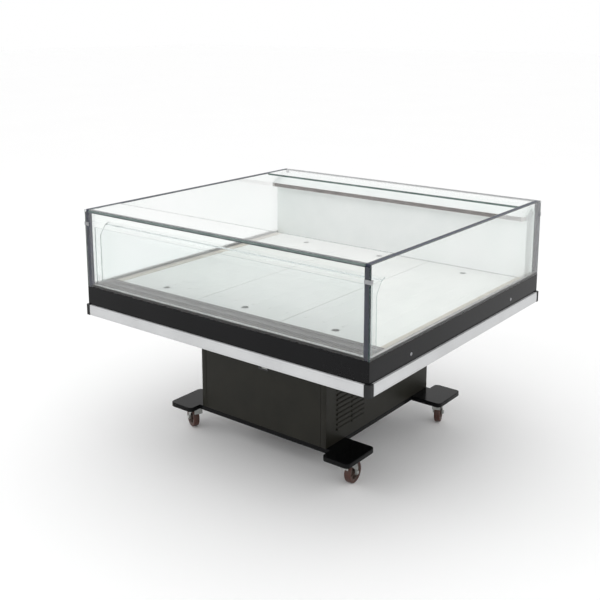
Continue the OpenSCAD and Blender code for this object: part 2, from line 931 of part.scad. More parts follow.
module glass_sides() {
    color([0.75, 0.85, 0.83, 0.35])
        for (s = [-1, 1]) {
            difference() {
                box3([s > 0 ? island_w / 2 - pane_t : -island_w / 2, -island_d / 2, skirt_low],
                    [s > 0 ? island_w / 2 : -island_w / 2 + pane_t, island_d / 2, island_h]);
                skirt_hole(s);
            }
            box3([s > 0 ? inner_x : -inner_x - pane_t, -island_d / 2 + pane_t, rim_top],
                [s > 0 ? inner_x + pane_t : -inner_x, island_d / 2 - pane_t, island_h]);
        }
}

module glass_seals() {
    y_out = island_d / 2 - pane_t;
    x_low = inner_x + pane_t;
    color("#30343f") {
        for (s = [0, 1])
            mirror([s, 0, 0])
                difference() {
                    box3([x_low, -y_out, rim_top], [x_low + pane_gap, y_out, island_h]);
                    box3([x_low - through, -y_out + seal_t, rim_top + spacer_h],
                        [x_low + pane_gap + through, y_out - seal_t, island_h - seal_t]);
                }
        for (s = [0, 1])
            mirror([0, s, 0])
                difference() {
                    box3([-inner_x, -y_out, rim_top], [inner_x, -y_out + pane_gap, strip_low]);
                    box3([-inner_x + seal_t, -y_out - through, rim_top + spacer_h],
                        [inner_x - seal_t, -y_out + pane_gap + through, strip_low - seal_t]);
                }
    }
}

module glass_top_strips() {
    color([0.75, 0.85, 0.83, 0.35])
        for (s = [0, 1])
            mirror([0, s, 0])
                box3([-inner_x, -island_d / 2, strip_low], [inner_x, -island_d / 2 + strip_w, island_h]);
}

module glass_clips() {
    x = island_w / 2;
    y = island_d / 2;
    z = island_h - clip_drop;
    color("#5b6068")
        for (sx = [0, 1], sy = [0, 1])
            mirror([sx, 0, 0])
                mirror([0, sy, 0]) {
                    box3([x - clip_l, y, z], [x + clip_t, y + clip_t, z + clip_h]);
                    box3([x, y - clip_l / 2, z], [x + clip_t, y + clip_t / 2, z + clip_h]);
                }
}

// Air system

module duct_panel() {
    color("#eef0f0") {
        box3([-inner_x, duct_y, rim_top], [inner_x, duct_y + sheet_t, honey_low - sheet_t]);
        box3([-inner_x, nose_y, honey_low - sheet_t], [inner_x, duct_y + sheet_t, honey_low]);
    }
}

module duct_back_panel() {
    color("#f2f3f3")
        box3([-inner_x, back_panel_y, rim_top], [inner_x, inner_y, hood_foot_z]);
}

module duct_hood() {
    color("#e8eaea")
        translate([-inner_x, 0, 0])
            rotate([90, 0, 90])
                linear_extrude(2 * inner_x)
                    polygon([[back_panel_y, hood_foot_z], [inner_y, hood_foot_z], [inner_y, hood_foot_z + 8],
                        [ridge_y, ridge_z], [nose_y, nose_z + sheet_t], [nose_y, nose_z - sheet_t],
                        [nose_y + honey_l, nose_z - sheet_t], [ridge_y - 4, ridge_z - 10],
                        [back_panel_y, hood_foot_z + 10]]);
}

module air_honeycomb() {
    count = floor((2 * inner_x - honey_pitch) / honey_pitch);
    first = -count * honey_pitch / 2 + 1;
    color("#8f8a8a")
        translate([0, nose_y + honey_l, 0])
            rotate([90, 0, 0])
                linear_extrude(honey_l)
                    difference() {
                        translate([-inner_x, honey_low])
                            square([2 * inner_x, honey_h]);
                        for (i = [0 : count - 1])
                            translate([first + i * honey_pitch, honey_low + 2])
                                square([honey_pitch - 2, honey_h - 4]);
                    }
}

module front_baffle() {
    top_y = baffle_y + 26;
    top_z = rim_top + baffle_up + 43;
    color([0.8, 0.88, 0.88, 0.35]) {
        translate([-inner_x, 0, 0])
            rotate([90, 0, 90])
                linear_extrude(2 * inner_x)
                    polygon([[baffle_y, baffle_low], [baffle_y, rim_top + baffle_up], [top_y, top_z - 5],
                        [top_y + 18, top_z], [top_y + 18, top_z - baffle_t], [top_y + 2, top_z - 5 - baffle_t],
                        [baffle_y + baffle_t, rim_top + baffle_up - 1], [baffle_y + baffle_t, baffle_low]]);
        box3([-inner_x, baffle_outer_y, baffle_low], [inner_x, baffle_outer_y + baffle_t, top_z - 10]);
    }
}

module return_grille() {
    count = floor((2 * inner_x - 2 * grille_pitch) / grille_pitch);
    first = -count * grille_pitch / 2 + 4;
    color("#7d7b79") {
        translate([0, 0, rim_top + grille_h - 2])
            linear_extrude(2)
                difference() {
                    translate([-inner_x, grille_front])
                        square([2 * inner_x, grille_back - grille_front]);
                    for (i = [0 : count - 1])
                        translate([first + i * grille_pitch, grille_front + 12])
                            square([grille_pitch - 8, grille_back - grille_front - 24]);
                }
        box3([-inner_x, grille_front, rim_top], [inner_x, grille_front + 2, rim_top + grille_h - 2]);
        box3([-inner_x, grille_back - 2, rim_top], [inner_x, grille_back, rim_top + grille_h - 2]);
    }
}

module deck_supports() {
    color("#c3c6c7") {
        box3([-cavity_x, grille_back - beam_w, tray_low - ledge_t], [cavity_x, grille_back, rim_top]);
        box3([-cavity_x, grille_back - beam_w, tray_low - ledge_t],
            [cavity_x, grille_back + ledge_w, tray_low - gap]);
        box3([-cavity_x, duct_y - ledge_w, tray_low - ledge_t], [cavity_x, duct_y + ledge_t, tray_low - gap]);
        box3([-cavity_x, duct_y, tray_low - ledge_t], [cavity_x, duct_y + ledge_t, rim_top]);
    }
}

module deck_tray(i) {
    x0 = -cavity_x + tray_play + i * (tray_span + 2 * tray_play);
    x1 = x0 + tray_span;
    color("#e6e7e5")
        difference() {
            box3([x0, tray_front, tray_low], [x1, tray_back, deck_top]);
            box3([x0 + sheet_t, tray_front + sheet_t, tray_low - through],
                [x1 - sheet_t, tray_back - sheet_t, deck_top - sheet_t]);
        }
}

module evaporator() {
    color("#a3a6a8") {
        box3([-evap_w / 2 + 6, evap_y, evap_low + evap_lift], [evap_w / 2 - 6, evap_y + evap_l, evap_low + evap_h]);
        for (x = [-evap_w / 2, evap_w / 2 - 6])
            box3([x, evap_y, evap_low], [x + 6, evap_y + evap_l, evap_low + evap_h + 4]);
    }
}

module fan_plate() {
    color("#b9bcbe") {
        difference() {
            box3([-evap_w / 2, fan_plate_y, well_floor], [evap_w / 2, fan_plate_y + 2, well_floor + fan_plate_h]);
            for (x = [-evap_fan_x, evap_fan_x])
                translate([x, fan_plate_y - through, evap_fan_z])
                    rotate([-90, 0, 0])
                        cylinder(h = 2 + 2 * through, r = fan_r + 3);
        }
        for (x = [-evap_fan_x, evap_fan_x])
            translate([x, fan_plate_y + 4, evap_fan_z])
                rotate([-90, 0, 0]) {
                    cylinder(h = evap_motor_l, r = evap_motor_r);
                    translate([0, 0, -22])
                        cylinder(h = 24, r = 2);
                    for (a = [0, 90, 180, 270])
                        rotate([0, 0, a]) {
                            box3([evap_motor_r - 3, -2, 0], [fan_r + 7, 2, 3]);
                            box3([fan_r + 3.5, -2, -2], [fan_r + 7, 2, 1]);
                        }
                }
    }
}

module evap_fan(s) {
    color("#2a2c2e")
        translate([s * evap_fan_x, fan_plate_y + 4 - gap, evap_fan_z])
            rotate([90, 0, 0])
                axial_fan(fan_r, 15, 18, 5, 2);
}

base_tray();
castor_plates();
fasteners();
for (i = [0 : 3]) {
    castor_fork(i);
    castor_hub(i);
    castor_tread(i);
    castor_brake(i);
}
housing_frame();
housing_front();
housing_back();
housing_side(-1);  // housing_left
housing_side(1);  // housing_right
controller();
cable_gland();
compressor();
condenser();
condenser_shroud();
condenser_fan();
receiver();
refrigerant_pipes();
electrical_box();
condensate_tray();
tub_casing();
tub_insulation();
tub_liner();
rim_rails();
skirt_panels();
bumper_rails();
bumper_caps();
glass_ends();
glass_sides();
glass_seals();
glass_top_strips();
glass_clips();
duct_panel();
duct_hood();
duct_back_panel();
air_honeycomb();
front_baffle();
return_grille();
deck_tray(0);  // deck_tray_left
deck_tray(1);  // deck_tray_centre
deck_tray(2);  // deck_tray_right
deck_supports();
evaporator();
fan_plate();
evap_fan(-1);  // evap_fan_left
evap_fan(1);  // evap_fan_right
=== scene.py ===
# %% [markdown]
# # An open chilled island with glass sides
# The object is a cold display table for a shop. Double glass walls stand round an open deck,
# cold air blows from a slim duct at the back to a return grille at the front, and the
# machinery sits in a dark housing under the tub. A black base plate with four pads carries
# the castors.
# The measured model gives every part its place. This lesson gives each part its finish and
# the fine detail that the measured model leaves out.

# %% Load the measured model
import json
import math
import bmesh
import bpy
from mathutils import Matrix, Vector


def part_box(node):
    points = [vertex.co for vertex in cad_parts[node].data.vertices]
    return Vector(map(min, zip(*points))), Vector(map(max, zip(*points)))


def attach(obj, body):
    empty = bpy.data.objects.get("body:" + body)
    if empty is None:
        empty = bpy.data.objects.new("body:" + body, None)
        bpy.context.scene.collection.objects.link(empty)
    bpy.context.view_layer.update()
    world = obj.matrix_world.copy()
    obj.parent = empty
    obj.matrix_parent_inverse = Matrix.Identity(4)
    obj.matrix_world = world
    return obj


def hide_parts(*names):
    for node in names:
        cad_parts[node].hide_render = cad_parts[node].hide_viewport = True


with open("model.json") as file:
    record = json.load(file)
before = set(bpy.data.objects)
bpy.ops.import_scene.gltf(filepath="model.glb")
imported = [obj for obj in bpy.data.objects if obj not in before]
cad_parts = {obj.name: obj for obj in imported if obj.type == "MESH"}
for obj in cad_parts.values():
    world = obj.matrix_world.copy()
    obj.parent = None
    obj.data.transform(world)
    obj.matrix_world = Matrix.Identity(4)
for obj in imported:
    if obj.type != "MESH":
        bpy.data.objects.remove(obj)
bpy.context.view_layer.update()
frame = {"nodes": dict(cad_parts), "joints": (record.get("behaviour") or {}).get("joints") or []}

MM = 0.001

# %% [markdown]
# ## The camera
# The island is seen from its front right corner, from a little above the glass. Each view is a
# position, two angles and a lens. The lens is shifted a little, as on a view camera, so that
# the upright edges of the glass converge less.

# %% Place the camera
TURN, TILT = math.radians(37.88), math.radians(11.23)
LENS, SHIFT, STAND = 54.31, -0.167, (1.981, -2.657, 1.563)
lens_data = bpy.data.cameras.new("view")
lens_data.lens = LENS
lens_data.shift_y = SHIFT
camera = bpy.data.objects.new("view", lens_data)
camera.location = STAND
sight = Vector((-math.sin(TURN) * math.cos(TILT), math.cos(TURN) * math.cos(TILT), -math.sin(TILT)))
camera.rotation_euler = sight.to_track_quat("-Z", "Y").to_euler()
bpy.context.scene.collection.objects.link(camera)
bpy.context.scene.camera = camera
print("camera distance in m:", round(camera.location.length, 2))

# %% [markdown]
# ## Colours and shader nodes
# Paint charts and screens give colours in sRGB, but light adds up in linear values, so one
# function converts them. A second small function adds any shader node, sets its settings, and
# sets or links its inputs. Everything else in this lesson is made with these two.

# %% Two helpers for materials
def linear(code):
    """The linear colour of an sRGB hex code."""
    parts = [int(code[i : i + 2], 16) / 255 for i in (1, 3, 5)]
    return (*(c / 12.92 if c <= 0.04045 else ((c + 0.055) / 1.055) ** 2.4 for c in parts), 1.0)


def add(tree, kind, inputs=(), **settings):
    """A shader node with its settings, and with its inputs set or linked."""
    node = tree.nodes.new("ShaderNode" + kind)
    for name, value in settings.items():
        setattr(node, name, value)
    for key, value in dict(inputs).items():
        if isinstance(value, bpy.types.NodeSocket):
            tree.links.new(value, node.inputs[key])
        else:
            node.inputs[key].default_value = value
    return node


def new_finish(name):
    """An empty material with a place to plug its surface in."""
    finish = bpy.data.materials.new(name)
    finish.use_nodes = True
    finish.node_tree.nodes.clear()
    return finish, finish.node_tree


def per_metre(size_mm):
    """How many times a pattern of that size in mm repeats in a metre."""
    return 1000 / size_mm


print("mid grey:", round(linear("#808080")[0], 3))

# %% [markdown]
# ## A surface with grain
# Paint, plastic and metal differ in colour and shine, but each has the same three kinds of
# unevenness: a slow drift in tone, a fine grain that makes the shine vary, and a tiny relief.
# One recipe holds all three, and each finish below gives its own sizes in millimetres.
# `stretch` draws the grain out along one axis, as rolling or brushing does.

# %% The recipe for a grained surface
def grained(name, dark, light, drift, grain, relief, shine, stretch=(1, 1, 1), **sockets):
    """dark and light are hex codes, drift and grain are sizes in mm, relief is a height in mm,
    and shine is the lowest and highest roughness."""
    finish, tree = new_finish(name)
    place_in = add(tree, "TexCoord")
    along = add(tree, "Mapping", {"Vector": place_in.outputs["Object"], "Scale": stretch})
    slow = add(tree, "TexNoise", {"Vector": place_in.outputs["Object"],
                                  "Scale": per_metre(drift), "Detail": 3.0})
    fine = add(tree, "TexNoise", {"Vector": along.outputs["Vector"],
                                  "Scale": per_metre(grain), "Detail": 2.0})
    both = add(tree, "Mix", {0: 0.35, 2: slow.outputs["Fac"], 3: fine.outputs["Fac"]})
    tone = add(tree, "ValToRGB", {"Fac": both.outputs[0]})
    tone.color_ramp.elements[0].position = 0.36
    tone.color_ramp.elements[0].color = linear(dark)
    tone.color_ramp.elements[1].position = 0.64
    tone.color_ramp.elements[1].color = linear(light)
    rough = add(tree, "MapRange", {"Value": both.outputs[0], "From Min": 0.35, "From Max": 0.65,
                                   "To Min": shine[0], "To Max": shine[1]})
    bump = add(tree, "Bump", {"Height": fine.outputs["Fac"], "Distance": relief * MM,
                              "Strength": 0.6})
    surface = add(tree, "BsdfPrincipled", {"Base Color": tone.outputs["Color"],
                                           "Roughness": rough.outputs["Result"],
                                           "Normal": bump.outputs["Normal"], **sockets})
    add(tree, "OutputMaterial", {"Surface": surface.outputs["BSDF"]})
    return finish


# %% [markdown]
# ## Painted steel
# Powder coat is sprayed on as dry paint and baked, which leaves a skin with a slight orange
# peel of 2 to 4 mm. On the foot plates it is glossy and deep black, the housing is a satin
# olive black, the tub a plain satin grey black, and the parts in the cold air are white.

# %% Paint finishes
POLYESTER_IOR = 1.5
foot_enamel = grained("gloss_black_powder_coat", "#060708", "#0A0B0C", 60, 3, 0.02,
                      (0.16, 0.24), IOR=POLYESTER_IOR, **{"Specular IOR Level": 0.12})
housing_satin = grained("satin_olive_black_powder_coat", "#1A1913", "#22211A", 90, 2.5, 0.03,
                        (0.36, 0.46), IOR=POLYESTER_IOR, **{"Specular IOR Level": 0.2})
tub_satin = grained("satin_grey_black_powder_coat", "#232423", "#2C2E2D", 80, 3, 0.03,
                    (0.42, 0.52), IOR=POLYESTER_IOR)
duct_white = grained("white_powder_coat", "#ECEEEE", "#F2F3F3", 120, 3, 0.02,
                     (0.28, 0.38), IOR=POLYESTER_IOR)
deck_paint = grained("warm_white_powder_coat", "#DFE0DE", "#EAEBE8", 100, 3, 0.02,
                     (0.30, 0.42), IOR=POLYESTER_IOR)
frame_primer = grained("grey_primer", "#2A2B2B", "#363737", 40, 2, 0.03, (0.55, 0.7),
                       IOR=POLYESTER_IOR)
shell_enamel = grained("black_baked_enamel", "#101113", "#191B1D", 50, 4, 0.04, (0.25, 0.38),
                       IOR=POLYESTER_IOR)
grille_paint = grained("taupe_grey_powder_coat", "#46403F", "#554E4D", 60, 2, 0.02,
                       (0.4, 0.52), IOR=POLYESTER_IOR)
rail_paint = grained("cream_grey_rail_paint", "#B9AFA0", "#C8BFB1", 60, 3, 0.02, (0.35, 0.45),
                     IOR=POLYESTER_IOR)
print("painted finishes ready")

# %% [markdown]
# ## Bare and plated metal
# A metal has no colour under its surface, so its whole look is its reflection. Bright zinc on
# the castors is a thin cloudy plate, galvanised sheet shows frozen crystals, brushed stainless
# has long scratches, drawn copper tube is smooth, and the coils' aluminium fins are as rolled.
# The bumper is a satin anodised extrusion with faint die lines along its length.

# %% Metal finishes
zinc_plate = grained("bright_zinc_plate", "#9C9E9C", "#B9BAB7", 14, 1.5, 0.01, (0.26, 0.4),
                     Metallic=1.0)
bolt_steel = grained("plated_bolt_steel", "#8A8B8D", "#A5A6A8", 10, 1, 0.01, (0.25, 0.38),
                     Metallic=1.0)
galvanised = grained("galvanised_sheet", "#9EA1A2", "#BDBFC0", 9, 3, 0.01, (0.32, 0.5),
                     Metallic=1.0)
stainless = grained("brushed_stainless_sheet", "#B9BBBB", "#CFD0D0", 150, 1.2, 0.01,
                    (0.22, 0.34), stretch=(0.03, 1, 1), Metallic=1.0)
fin_aluminium = grained("rolled_aluminium_fin", "#B4B6B7", "#CDCFD0", 25, 1.5, 0.01,
                        (0.3, 0.42), Metallic=1.0)
tube_copper = grained("drawn_copper_tube", "#A9623C", "#C27A50", 18, 1.5, 0.01, (0.22, 0.36),
                      Metallic=1.0)
spacer_metal = grained("mill_aluminium_spacer", "#B5B5B4", "#CBCBC9", 30, 1.2, 0.01,
                       (0.3, 0.42), Metallic=1.0)
print("metal finishes ready")

# %% [markdown]
# ## Moulded plastic, rubber and foam
# Moulded parts carry the fine spark texture of their tool, about 1 mm here so that it shows.
# The tyres are brown polyurethane on a brown nylon hub, the corner caps are dark grey, and the
# foam between the tub's skins is cream with small closed cells.

# %% Plastic finishes
NYLON_IOR, POLYURETHANE_IOR, ABS_IOR = 1.53, 1.5, 1.54
hub_nylon = grained("moulded_brown_nylon", "#3E302A", "#4E3E36", 12, 1, 0.02, (0.42, 0.55),
                    IOR=NYLON_IOR)
tyre_brown = grained("brown_polyurethane_tyre", "#3B1F16", "#4A281D", 10, 1.2, 0.03,
                     (0.36, 0.5), IOR=POLYURETHANE_IOR)
cap_plastic = grained("moulded_grey_cap", "#1B1C1D", "#252627", 20, 1, 0.02, (0.35, 0.46),
                      IOR=ABS_IOR, **{"Specular IOR Level": 0.25})
black_moulding = grained("moulded_black_nylon", "#131416", "#1C1D1F", 20, 1, 0.02,
                         (0.4, 0.52), IOR=NYLON_IOR)
grey_moulding = grained("moulded_grey_abs", "#6D7072", "#7C7F81", 30, 1, 0.02, (0.4, 0.5),
                        IOR=ABS_IOR)
window_plastic = grained("moulded_light_grey_abs", "#8E908C", "#9C9E9A", 12, 1, 0.01,
                         (0.25, 0.35), IOR=ABS_IOR)
foam_cells = grained("rigid_cream_foam", "#D2C68F", "#E6DBAC", 30, 2, 0.3, (0.8, 0.95),
                     IOR=1.4)
honeycomb_plastic = grained("moulded_honeycomb", "#B5AEAE", "#C6C0BF", 40, 2, 0.02,
                            (0.45, 0.6), IOR=ABS_IOR)
seal_rubber = grained("dark_butyl_seal", "#191D33", "#262B46", 25, 1.5, 0.05, (0.45, 0.6),
                      IOR=1.5)
bumper_skin = grained("satin_anodised_bumper", "#BDBEBF", "#CCCDCE", 200, 1.2, 0.008,
                      (0.34, 0.42), Metallic=0.25, IOR=1.5)
print("plastic finishes ready")

# %% [markdown]
# ## Clear glass and acrylic
# Float glass is cast on molten tin and stays clear and flat. It bends light by its IOR, and a
# thin coat, as on most display glass, cuts its mirror to less than half. Light that comes
# straight from a lamp or from a lit surface passes it unbent, so that the tub behind it is lit.
# The panes and the acrylic baffle stand one behind another, so the thin baffle doesn't bend
# what is behind it: a see-through shader lies under a mirror whose share follows Schlick's
# rule. The sawn edges are dark, because light runs a long way through the sheet before it
# comes out there.

# %% Glass finishes
HEAD_ON = 0.02
COATED = 0.22
GLASS_IOR, ACRYLIC_IOR = 1.52, 1.49


def float_glass(name, tint):
    """Clear glass that lets the light from lamps and lit surfaces straight through."""
    finish, tree = new_finish(name)
    place_in = add(tree, "TexCoord")
    drift = add(tree, "TexNoise", {"Vector": place_in.outputs["Object"],
                                   "Scale": per_metre(300), "Detail": 2.0})
    tone = add(tree, "ValToRGB", {"Fac": drift.outputs["Fac"]})
    tone.color_ramp.elements[0].color = linear(tint)
    tone.color_ramp.elements[1].color = linear("#FFFFFF")
    clear = add(tree, "BsdfPrincipled", {"Base Color": tone.outputs["Color"], "Roughness": 0.0,
                                         "IOR": GLASS_IOR, "Transmission Weight": 1.0,
                                         "Specular IOR Level": COATED})
    path = add(tree, "LightPath")
    straight = add(tree, "Math", {0: path.outputs["Is Shadow Ray"],
                                  1: path.outputs["Is Diffuse Ray"]}, operation="MAXIMUM")
    through = add(tree, "BsdfTransparent", {"Color": linear(tint)})
    mixed = add(tree, "MixShader", {0: straight.outputs[0], 1: clear.outputs["BSDF"],
                                    2: through.outputs[0]})
    add(tree, "OutputMaterial", {"Surface": mixed.outputs[0]})
    return finish


def clear_sheet(name, tint, blur):
    """A see-through sheet with a mirror that grows towards grazing angles."""
    finish, tree = new_finish(name)
    facing = add(tree, "LayerWeight", {"Blend": 0.5})
    steep = add(tree, "Math", {0: facing.outputs["Facing"], 1: 5.0}, operation="POWER")
    share = add(tree, "Math", {0: steep.outputs[0], 1: 1 - HEAD_ON, 2: HEAD_ON},
                operation="MULTIPLY_ADD")
    through = add(tree, "BsdfTransparent", {"Color": linear(tint)})
    place_in = add(tree, "TexCoord")
    smears = add(tree, "TexNoise", {"Vector": place_in.outputs["Object"],
                                    "Scale": per_metre(160), "Detail": 3.0})
    rough = add(tree, "MapRange", {"Value": smears.outputs["Fac"], "To Min": blur[0],
                                   "To Max": blur[1]})
    mirror = add(tree, "BsdfAnisotropic", {"Color": (1, 1, 1, 1),
                                           "Roughness": rough.outputs["Result"]})
    mixed = add(tree, "MixShader", {0: share.outputs[0], 1: through.outputs[0],
                                    2: mirror.outputs[0]})
    add(tree, "OutputMaterial", {"Surface": mixed.outputs[0]})
    return finish


pane_glass = float_glass("clear_float_glass", "#FBFDFC")
acrylic = clear_sheet("clear_acrylic", "#FBFCFC", (0.02, 0.06))
edge_glass = grained("polished_glass_edge", "#1E302F", "#33504B", 60, 3, 0.01, (0.08, 0.16),
                     IOR=GLASS_IOR, **{"Transmission Weight": 0.2})
strip_edge = grained("polished_strip_edge", "#5F706C", "#7E8E8A", 60, 3, 0.01, (0.08, 0.16),
                     IOR=GLASS_IOR, **{"Transmission Weight": 0.35})
acrylic_edge = grained("polished_acrylic_edge", "#8FA0A2", "#A9B8B9", 60, 3, 0.01,
                       (0.12, 0.2), IOR=ACRYLIC_IOR, **{"Transmission Weight": 0.5})
back_painted = grained("black_enamelled_glass", "#08080A", "#0E0E10", 220, 5, 0.004,
                       (0.05, 0.09), IOR=GLASS_IOR, **{"Specular IOR Level": 0.12})
print("glass finishes ready")

# %% [markdown]
# ## The floor and the light
# The island stands on a plain pale floor in soft studio light: a white surround, one large
# soft lamp from the left and above, a weaker one from the right, and one overhead. The picture
# is kept in the plain standard view of the colours, since this surround is close to pure white
# and a film-like curve would turn it grey.

# %% Build the floor and the lamps
floor_finish, floor_tree = new_finish("pale_studio_floor")
floor_place = add(floor_tree, "TexCoord")
floor_drift = add(floor_tree, "TexNoise", {"Vector": floor_place.outputs["Object"], "Scale": 0.8})
floor_tone = add(floor_tree, "ValToRGB", {"Fac": floor_drift.outputs["Fac"]})
floor_tone.color_ramp.elements[0].color = linear("#FDFDFD")
floor_tone.color_ramp.elements[1].color = linear("#FFFFFF")
floor_surface = add(floor_tree, "BsdfPrincipled", {"Base Color": floor_tone.outputs["Color"],
                                                   "Roughness": 0.9})
add(floor_tree, "OutputMaterial", {"Surface": floor_surface.outputs["BSDF"]})

FLOOR_REACH = 40
floor_mesh = bpy.data.meshes.new("floor")
floor_mesh.from_pydata([(x, y, 0) for x, y in ((-1, -1), (1, -1), (1, 1), (-1, 1))], [],
                       [(0, 1, 2, 3)])
floor_mesh.transform(Matrix.Scale(FLOOR_REACH, 4))
floor_mesh.materials.append(floor_finish)
floor = bpy.data.objects.new("floor", floor_mesh)
bpy.context.scene.collection.objects.link(floor)

world = bpy.data.worlds.new("studio")
world.use_nodes = True
world.node_tree.nodes["Background"].inputs["Color"].default_value = linear("#FFFFFF")
world.node_tree.nodes["Background"].inputs["Strength"].default_value = 1.0
bpy.context.scene.world = world
bpy.context.scene.view_settings.view_transform = "Standard"


def lamp(name, stand, aim, size, watts):
    """A square soft lamp that looks at a point."""
    data = bpy.data.lights.new(name, "AREA")
    data.size = size
    data.energy = watts
    holder = bpy.data.objects.new(name, data)
    holder.location = stand
    holder.rotation_euler = (Vector(aim) - Vector(stand)).to_track_quat("-Z", "Y").to_euler()
    bpy.context.scene.collection.objects.link(holder)


lamp("key", (-2.6, -3.2, 3.6), (0, 0, 0.5), 2.4, 24)
lamp("fill", (3.6, -1.0, 2.6), (0, 0, 0.5), 2.0, 6)
lamp("top", (0.2, 0.6, 4.2), (0, 0, 0.6), 3.0, 10)

# %% [markdown]
# ## From a drawn shape to a piece
# Shapes are drawn in millimetres, like a workshop drawing. Three ways to draw are enough for
# most of them: a box between two corners, a flat outline with holes pushed to a thickness, and
# a profile turned round an axis. One function then makes a shape into a piece: it turns
# millimetres into metres, rounds the edges, gives the finish, hides the measured part that the
# piece stands for, and hangs the piece on the body that it moves with.

# %% Drawing helpers
AXES = {"x": 0, "y": 1, "z": 2}
CORNERS = [(-1, -1), (-1, 1), (1, -1), (1, 1)]


def spot(a, b, t, along):
    """The point a, b on the plane across an axis, at t along it."""
    return {"x": (t, a, b), "y": (a, t, b), "z": (a, b, t)}[along]


def block(shape, low, high, finish=0):
    """A box between two corners."""
    made = bmesh.ops.create_cube(shape, size=1)["verts"]
    for v in made:
        v.co = Vector(l + (c + 0.5) * (h - l) for l, c, h in zip(low, v.co, high))
    for face in {f for v in made for f in v.link_faces}:
        face.material_index = finish


def push(shape, outline, start, end, along="z", holes=(), finish=0):
    """An outline with holes, pushed from start to end along an axis."""
    edges = []
    for loop in (outline, *holes):
        ring = [shape.verts.new(spot(a, b, start, along)) for a, b in loop]
        edges += [shape.edges.new(pair) for pair in zip(ring, ring[1:] + ring[:1])]
    if holes:
        made = bmesh.ops.triangle_fill(shape, edges=edges, use_beauty=True)["geom"]
        faces = [g for g in made if isinstance(g, bmesh.types.BMFace)]
    else:
        faces = [shape.faces.new(ring)]
    far = bmesh.ops.extrude_face_region(shape, geom=faces, use_keep_orig=True)["geom"]
    moved = [g for g in far if isinstance(g, bmesh.types.BMVert)]
    bmesh.ops.translate(shape, verts=moved, vec=spot(0, 0, end - start, along))
    for face in {f for v in moved for f in v.link_faces} | set(faces):
        face.material_index = finish


def turn(shape, profile, centre, along="z", steps=32, finish=0):
    """A closed profile of (radius, distance along the axis), turned round an axis."""
    rings = []
    for radius, t in profile:
        count = steps if radius > 1e-6 else 1
        rings.append([shape.verts.new(Vector(centre) + Vector(spot(
            radius * math.cos(2 * math.pi * i / steps), radius * math.sin(2 * math.pi * i / steps),
            t, along))) for i in range(count)])
    for one, two in zip(rings, rings[1:] + rings[:1]):
        for i in range(steps):
            j = (i + 1) % steps
            corners = [one[i % len(one)], one[j % len(one)], two[j % len(two)], two[i % len(two)]]
            corners = list(dict.fromkeys(corners))
            if len(corners) > 2:
                shape.faces.new(corners).material_index = finish


def ring_of(a, b, radius, count=24, start=0.0, end=360.0):
    """Points round a centre, as a whole circle or an arc."""
    whole = end - start >= 360
    steps = count if whole else count - 1
    angles = [math.radians(start + (end - start) * i / steps) for i in range(count)]
    return [(a + radius * math.cos(t), b + radius * math.sin(t)) for t in angles]


def rounded(a0, b0, a1, b1, radius, count=5):
    """The outline of a rectangle with round corners."""
    return (ring_of(a1 - radius, b0 + radius, radius, count, -90, 0)
            + ring_of(a1 - radius, b1 - radius, radius, count, 0, 90)
            + ring_of(a0 + radius, b1 - radius, radius, count, 90, 180)
            + ring_of(a0 + radius, b0 + radius, radius, count, 180, 270))


def place(name, shape, finishes, stands_for=(), body="cabinet", soften=0.0,
          sharp=32, at=None):
    """Makes a shape in mm into a finished piece that rides on a body."""
    if at is not None:
        bmesh.ops.transform(shape, matrix=at, verts=shape.verts)
    bmesh.ops.scale(shape, vec=(MM, MM, MM), verts=shape.verts)
    bmesh.ops.recalc_face_normals(shape, faces=shape.faces)
    mesh = bpy.data.meshes.new(name)
    shape.to_mesh(mesh)
    shape.free()
    for finish in finishes if isinstance(finishes, (list, tuple)) else [finishes]:
        mesh.materials.append(finish)
    mesh.shade_smooth()
    mesh.set_sharp_from_angle(angle=math.radians(sharp))
    piece = bpy.data.objects.new(name, mesh)
    bpy.context.scene.collection.objects.link(piece)
    if soften:
        round_off = piece.modifiers.new("rounded edges", "BEVEL")
        round_off.width = soften * MM
        round_off.segments = 2
        round_off.limit_method = "ANGLE"
        round_off.angle_limit = math.radians(sharp)
        round_off.harden_normals = True
    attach(piece, body)
    names = [stands_for] if isinstance(stands_for, str) else list(stands_for)
    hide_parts(*names)
    print(name, len(mesh.polygons), "faces")
    return piece


def mm_box(node):
    """The two corners of a measured part, in mm."""
    low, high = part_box(node)
    return [c / MM for c in low], [c / MM for c in high]


def dress(node, finish, soften=0.0, slices=2):
    """Keeps a measured part as it is, with a finish and softly rounded edges."""
    part = frame["nodes"][node]
    part.data.materials.clear()
    part.data.materials.append(finish)
    if soften:
        weld = part.modifiers.new("joined corners", "WELD")
        weld.merge_threshold = 0.01 * MM
        round_off = part.modifiers.new("rounded edges", "BEVEL")
        round_off.width = soften * MM
        round_off.segments = slices
        round_off.limit_method = "ANGLE"
        round_off.angle_limit = math.radians(40)
        round_off.harden_normals = True
    return part


print("drawing helpers ready")

# %% [markdown]
# # The glass island
# ## Double glass walls
# Each wall is two panes of float glass with a sealed gap. The outer pane runs down in front of
# the black skirt, where its back is coated with black enamel, and the inner one stands on the
# rim rail. Panes are cut, and their edges are ground to a small slanting arris, so a bevel is
# all the shaping that they need. The side panes have drilled holes for the skirt's screws.

# %% Measure the glass
PANE = 4.0
ARRIS = 0.6
side_low, side_high = mm_box("glass_sides")
strip_low = mm_box("glass_ends")[1][2]
glass_x, glass_y, glass_top = side_high[0], side_high[1], side_high[2]
skirt_low = side_low[2]
rim_top = mm_box("rim_rails")[1][2]
inner_x = mm_box("glass_top_strips")[1][0]
inner_y = glass_y - (glass_x - inner_x)
print("outer pane", 2 * glass_x, "by", 2 * glass_y, "mm, top at", glass_top)


